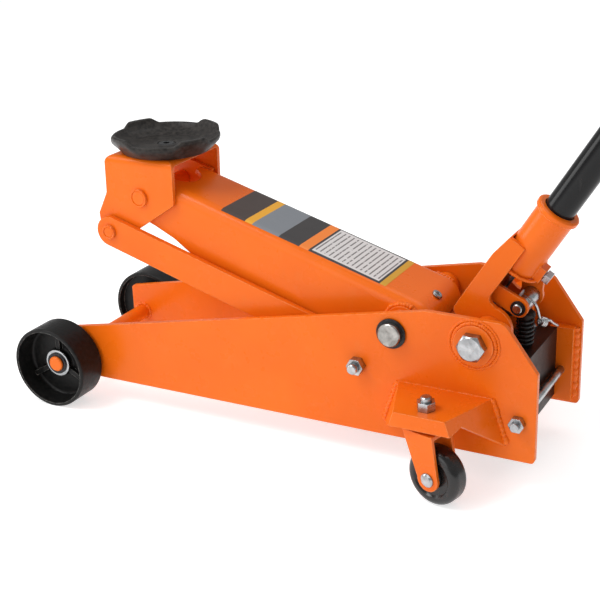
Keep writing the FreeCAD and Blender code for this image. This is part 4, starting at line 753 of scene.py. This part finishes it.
def make_label():
    """A thin printed sheet laid on the arm: each point is dropped on to the painted steel."""
    steel = BVHTree.FromObject(NODES["lift_arm"], bpy.context.evaluated_depsgraph_get())
    vertices, places = [], []
    for down in range(LABEL["down"] + 1):
        for over in range(LABEL["over"] + 1):
            u, v = down / LABEL["down"], over / LABEL["over"]
            along = LABEL["start"] + (LABEL["end"] - LABEL["start"]) * u
            above = (ARM_PIVOT + ARM_ALONG * along + ARM_UP * LABEL["drop_mm"] * MM
                     + Y_AXIS * LABEL["half_width"] * (2 * v - 1))
            place, normal, _, _ = steel.ray_cast(above, -ARM_UP)
            vertices.append(place + normal * LABEL["proud_mm"] * MM)
            places.append((u, v))
    row = LABEL["over"] + 1
    faces = [(start, start + 1, start + row + 1, start + row)
             for down in range(LABEL["down"])
             for start in range(down * row, down * row + LABEL["over"])]
    piece = shown("arm_label", vertices, faces, "orange_paint", printed_label())
    sheet = piece.data.uv_layers.new(name=LABEL_UV)
    for loop in piece.data.loops:
        sheet.data[loop.index].uv = places[loop.vertex_index]
    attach(piece, "lift_arm")


# ---------------------------------------------------------------- studio
FLOOR = {"size": 40, "glow": 0.62}
WORLD_STRENGTH = 0.44
LAMP_AIM = Vector((0, 0, 0.12))
LAMPS = {                   # place in metres, side in metres, power in watts
    "key": ((-1.2, -1.0, 2.1), 1.1, 28),
    "front": ((-0.9, -2.5, 1.1), 1.6, 14.5),
    "side": ((-2.3, -0.7, 0.7), 1.0, 10),
    "top": ((0.3, 0.8, 2.4), 1.6, 14),
}
CAMERA = {"azimuth": 26.33, "elevation": 21.77, "roll": -0.96, "lens": 76.4, "sensor": 36,
          "shift_x": -0.1005, "shift_y": -0.0097, "clip_end": 50}
CAMERA_FROM_ARM_PIVOT = Vector((0.4368, -1.0115, 0.4531))


def make_floor():
    half = FLOOR["size"] / 2
    mesh = bpy.data.meshes.new("studio_floor")
    corners = [(-half, -half, 0), (half, -half, 0), (half, half, 0), (-half, half, 0)]
    mesh.from_pydata(corners, [], [(0, 1, 2, 3)])
    floor = bpy.data.objects.new("studio_floor", mesh)
    bpy.context.scene.collection.objects.link(floor)
    tree = Tree("pale_floor")
    floor.data.materials.append(tree.set(color=COLOURS["floor"], roughness=0.8, specular=0.2,
                                         glow=COLOURS["white"], glow_strength=FLOOR["glow"]))


def make_studio():
    """A pale glowing floor, an even white surround and four soft lamps."""
    make_floor()
    world = bpy.data.worlds.new("studio_world")
    world.use_nodes = True
    background = world.node_tree.nodes["Background"]
    background.inputs["Color"].default_value = COLOURS["white"]
    background.inputs["Strength"].default_value = WORLD_STRENGTH
    bpy.context.scene.world = world
    bpy.context.scene.view_settings.view_transform = "Standard"
    for name, (spot, size, power) in LAMPS.items():
        data = bpy.data.lights.new(name, "AREA")
        data.size = size
        data.energy = power
        lamp = bpy.data.objects.new(name, data)
        lamp.location = spot
        lamp.rotation_euler = (LAMP_AIM - lamp.location).to_track_quat("-Z", "Y").to_euler()
        bpy.context.scene.collection.objects.link(lamp)


def make_camera():
    """Looks at the jack from its rear left and from above, as close as a product picture."""
    azimuth, elevation, roll = (math.radians(CAMERA[angle])
                                for angle in ("azimuth", "elevation", "roll"))
    back = Vector((math.sin(azimuth) * math.cos(elevation),
                   -math.cos(azimuth) * math.cos(elevation), math.sin(elevation)))
    data = bpy.data.cameras.new("camera")
    data.sensor_width = CAMERA["sensor"]
    data.lens = CAMERA["lens"]
    data.shift_x = CAMERA["shift_x"]
    data.shift_y = CAMERA["shift_y"]
    data.clip_end = CAMERA["clip_end"]
    camera = bpy.data.objects.new("camera", data)
    camera.location = ARM_PIVOT + CAMERA_FROM_ARM_PIVOT
    camera.rotation_mode = "QUATERNION"
    camera.rotation_quaternion = back.to_track_quat("Z", "Y") @ Quaternion((0, 0, 1), roll)
    bpy.context.scene.collection.objects.link(camera)
    bpy.context.scene.camera = camera


make_camera()
make_studio()
dress_nodes()
make_saddle()
make_label()
make_plunger_coil()
make_return_coils()
make_handle_spring()
make_welds()
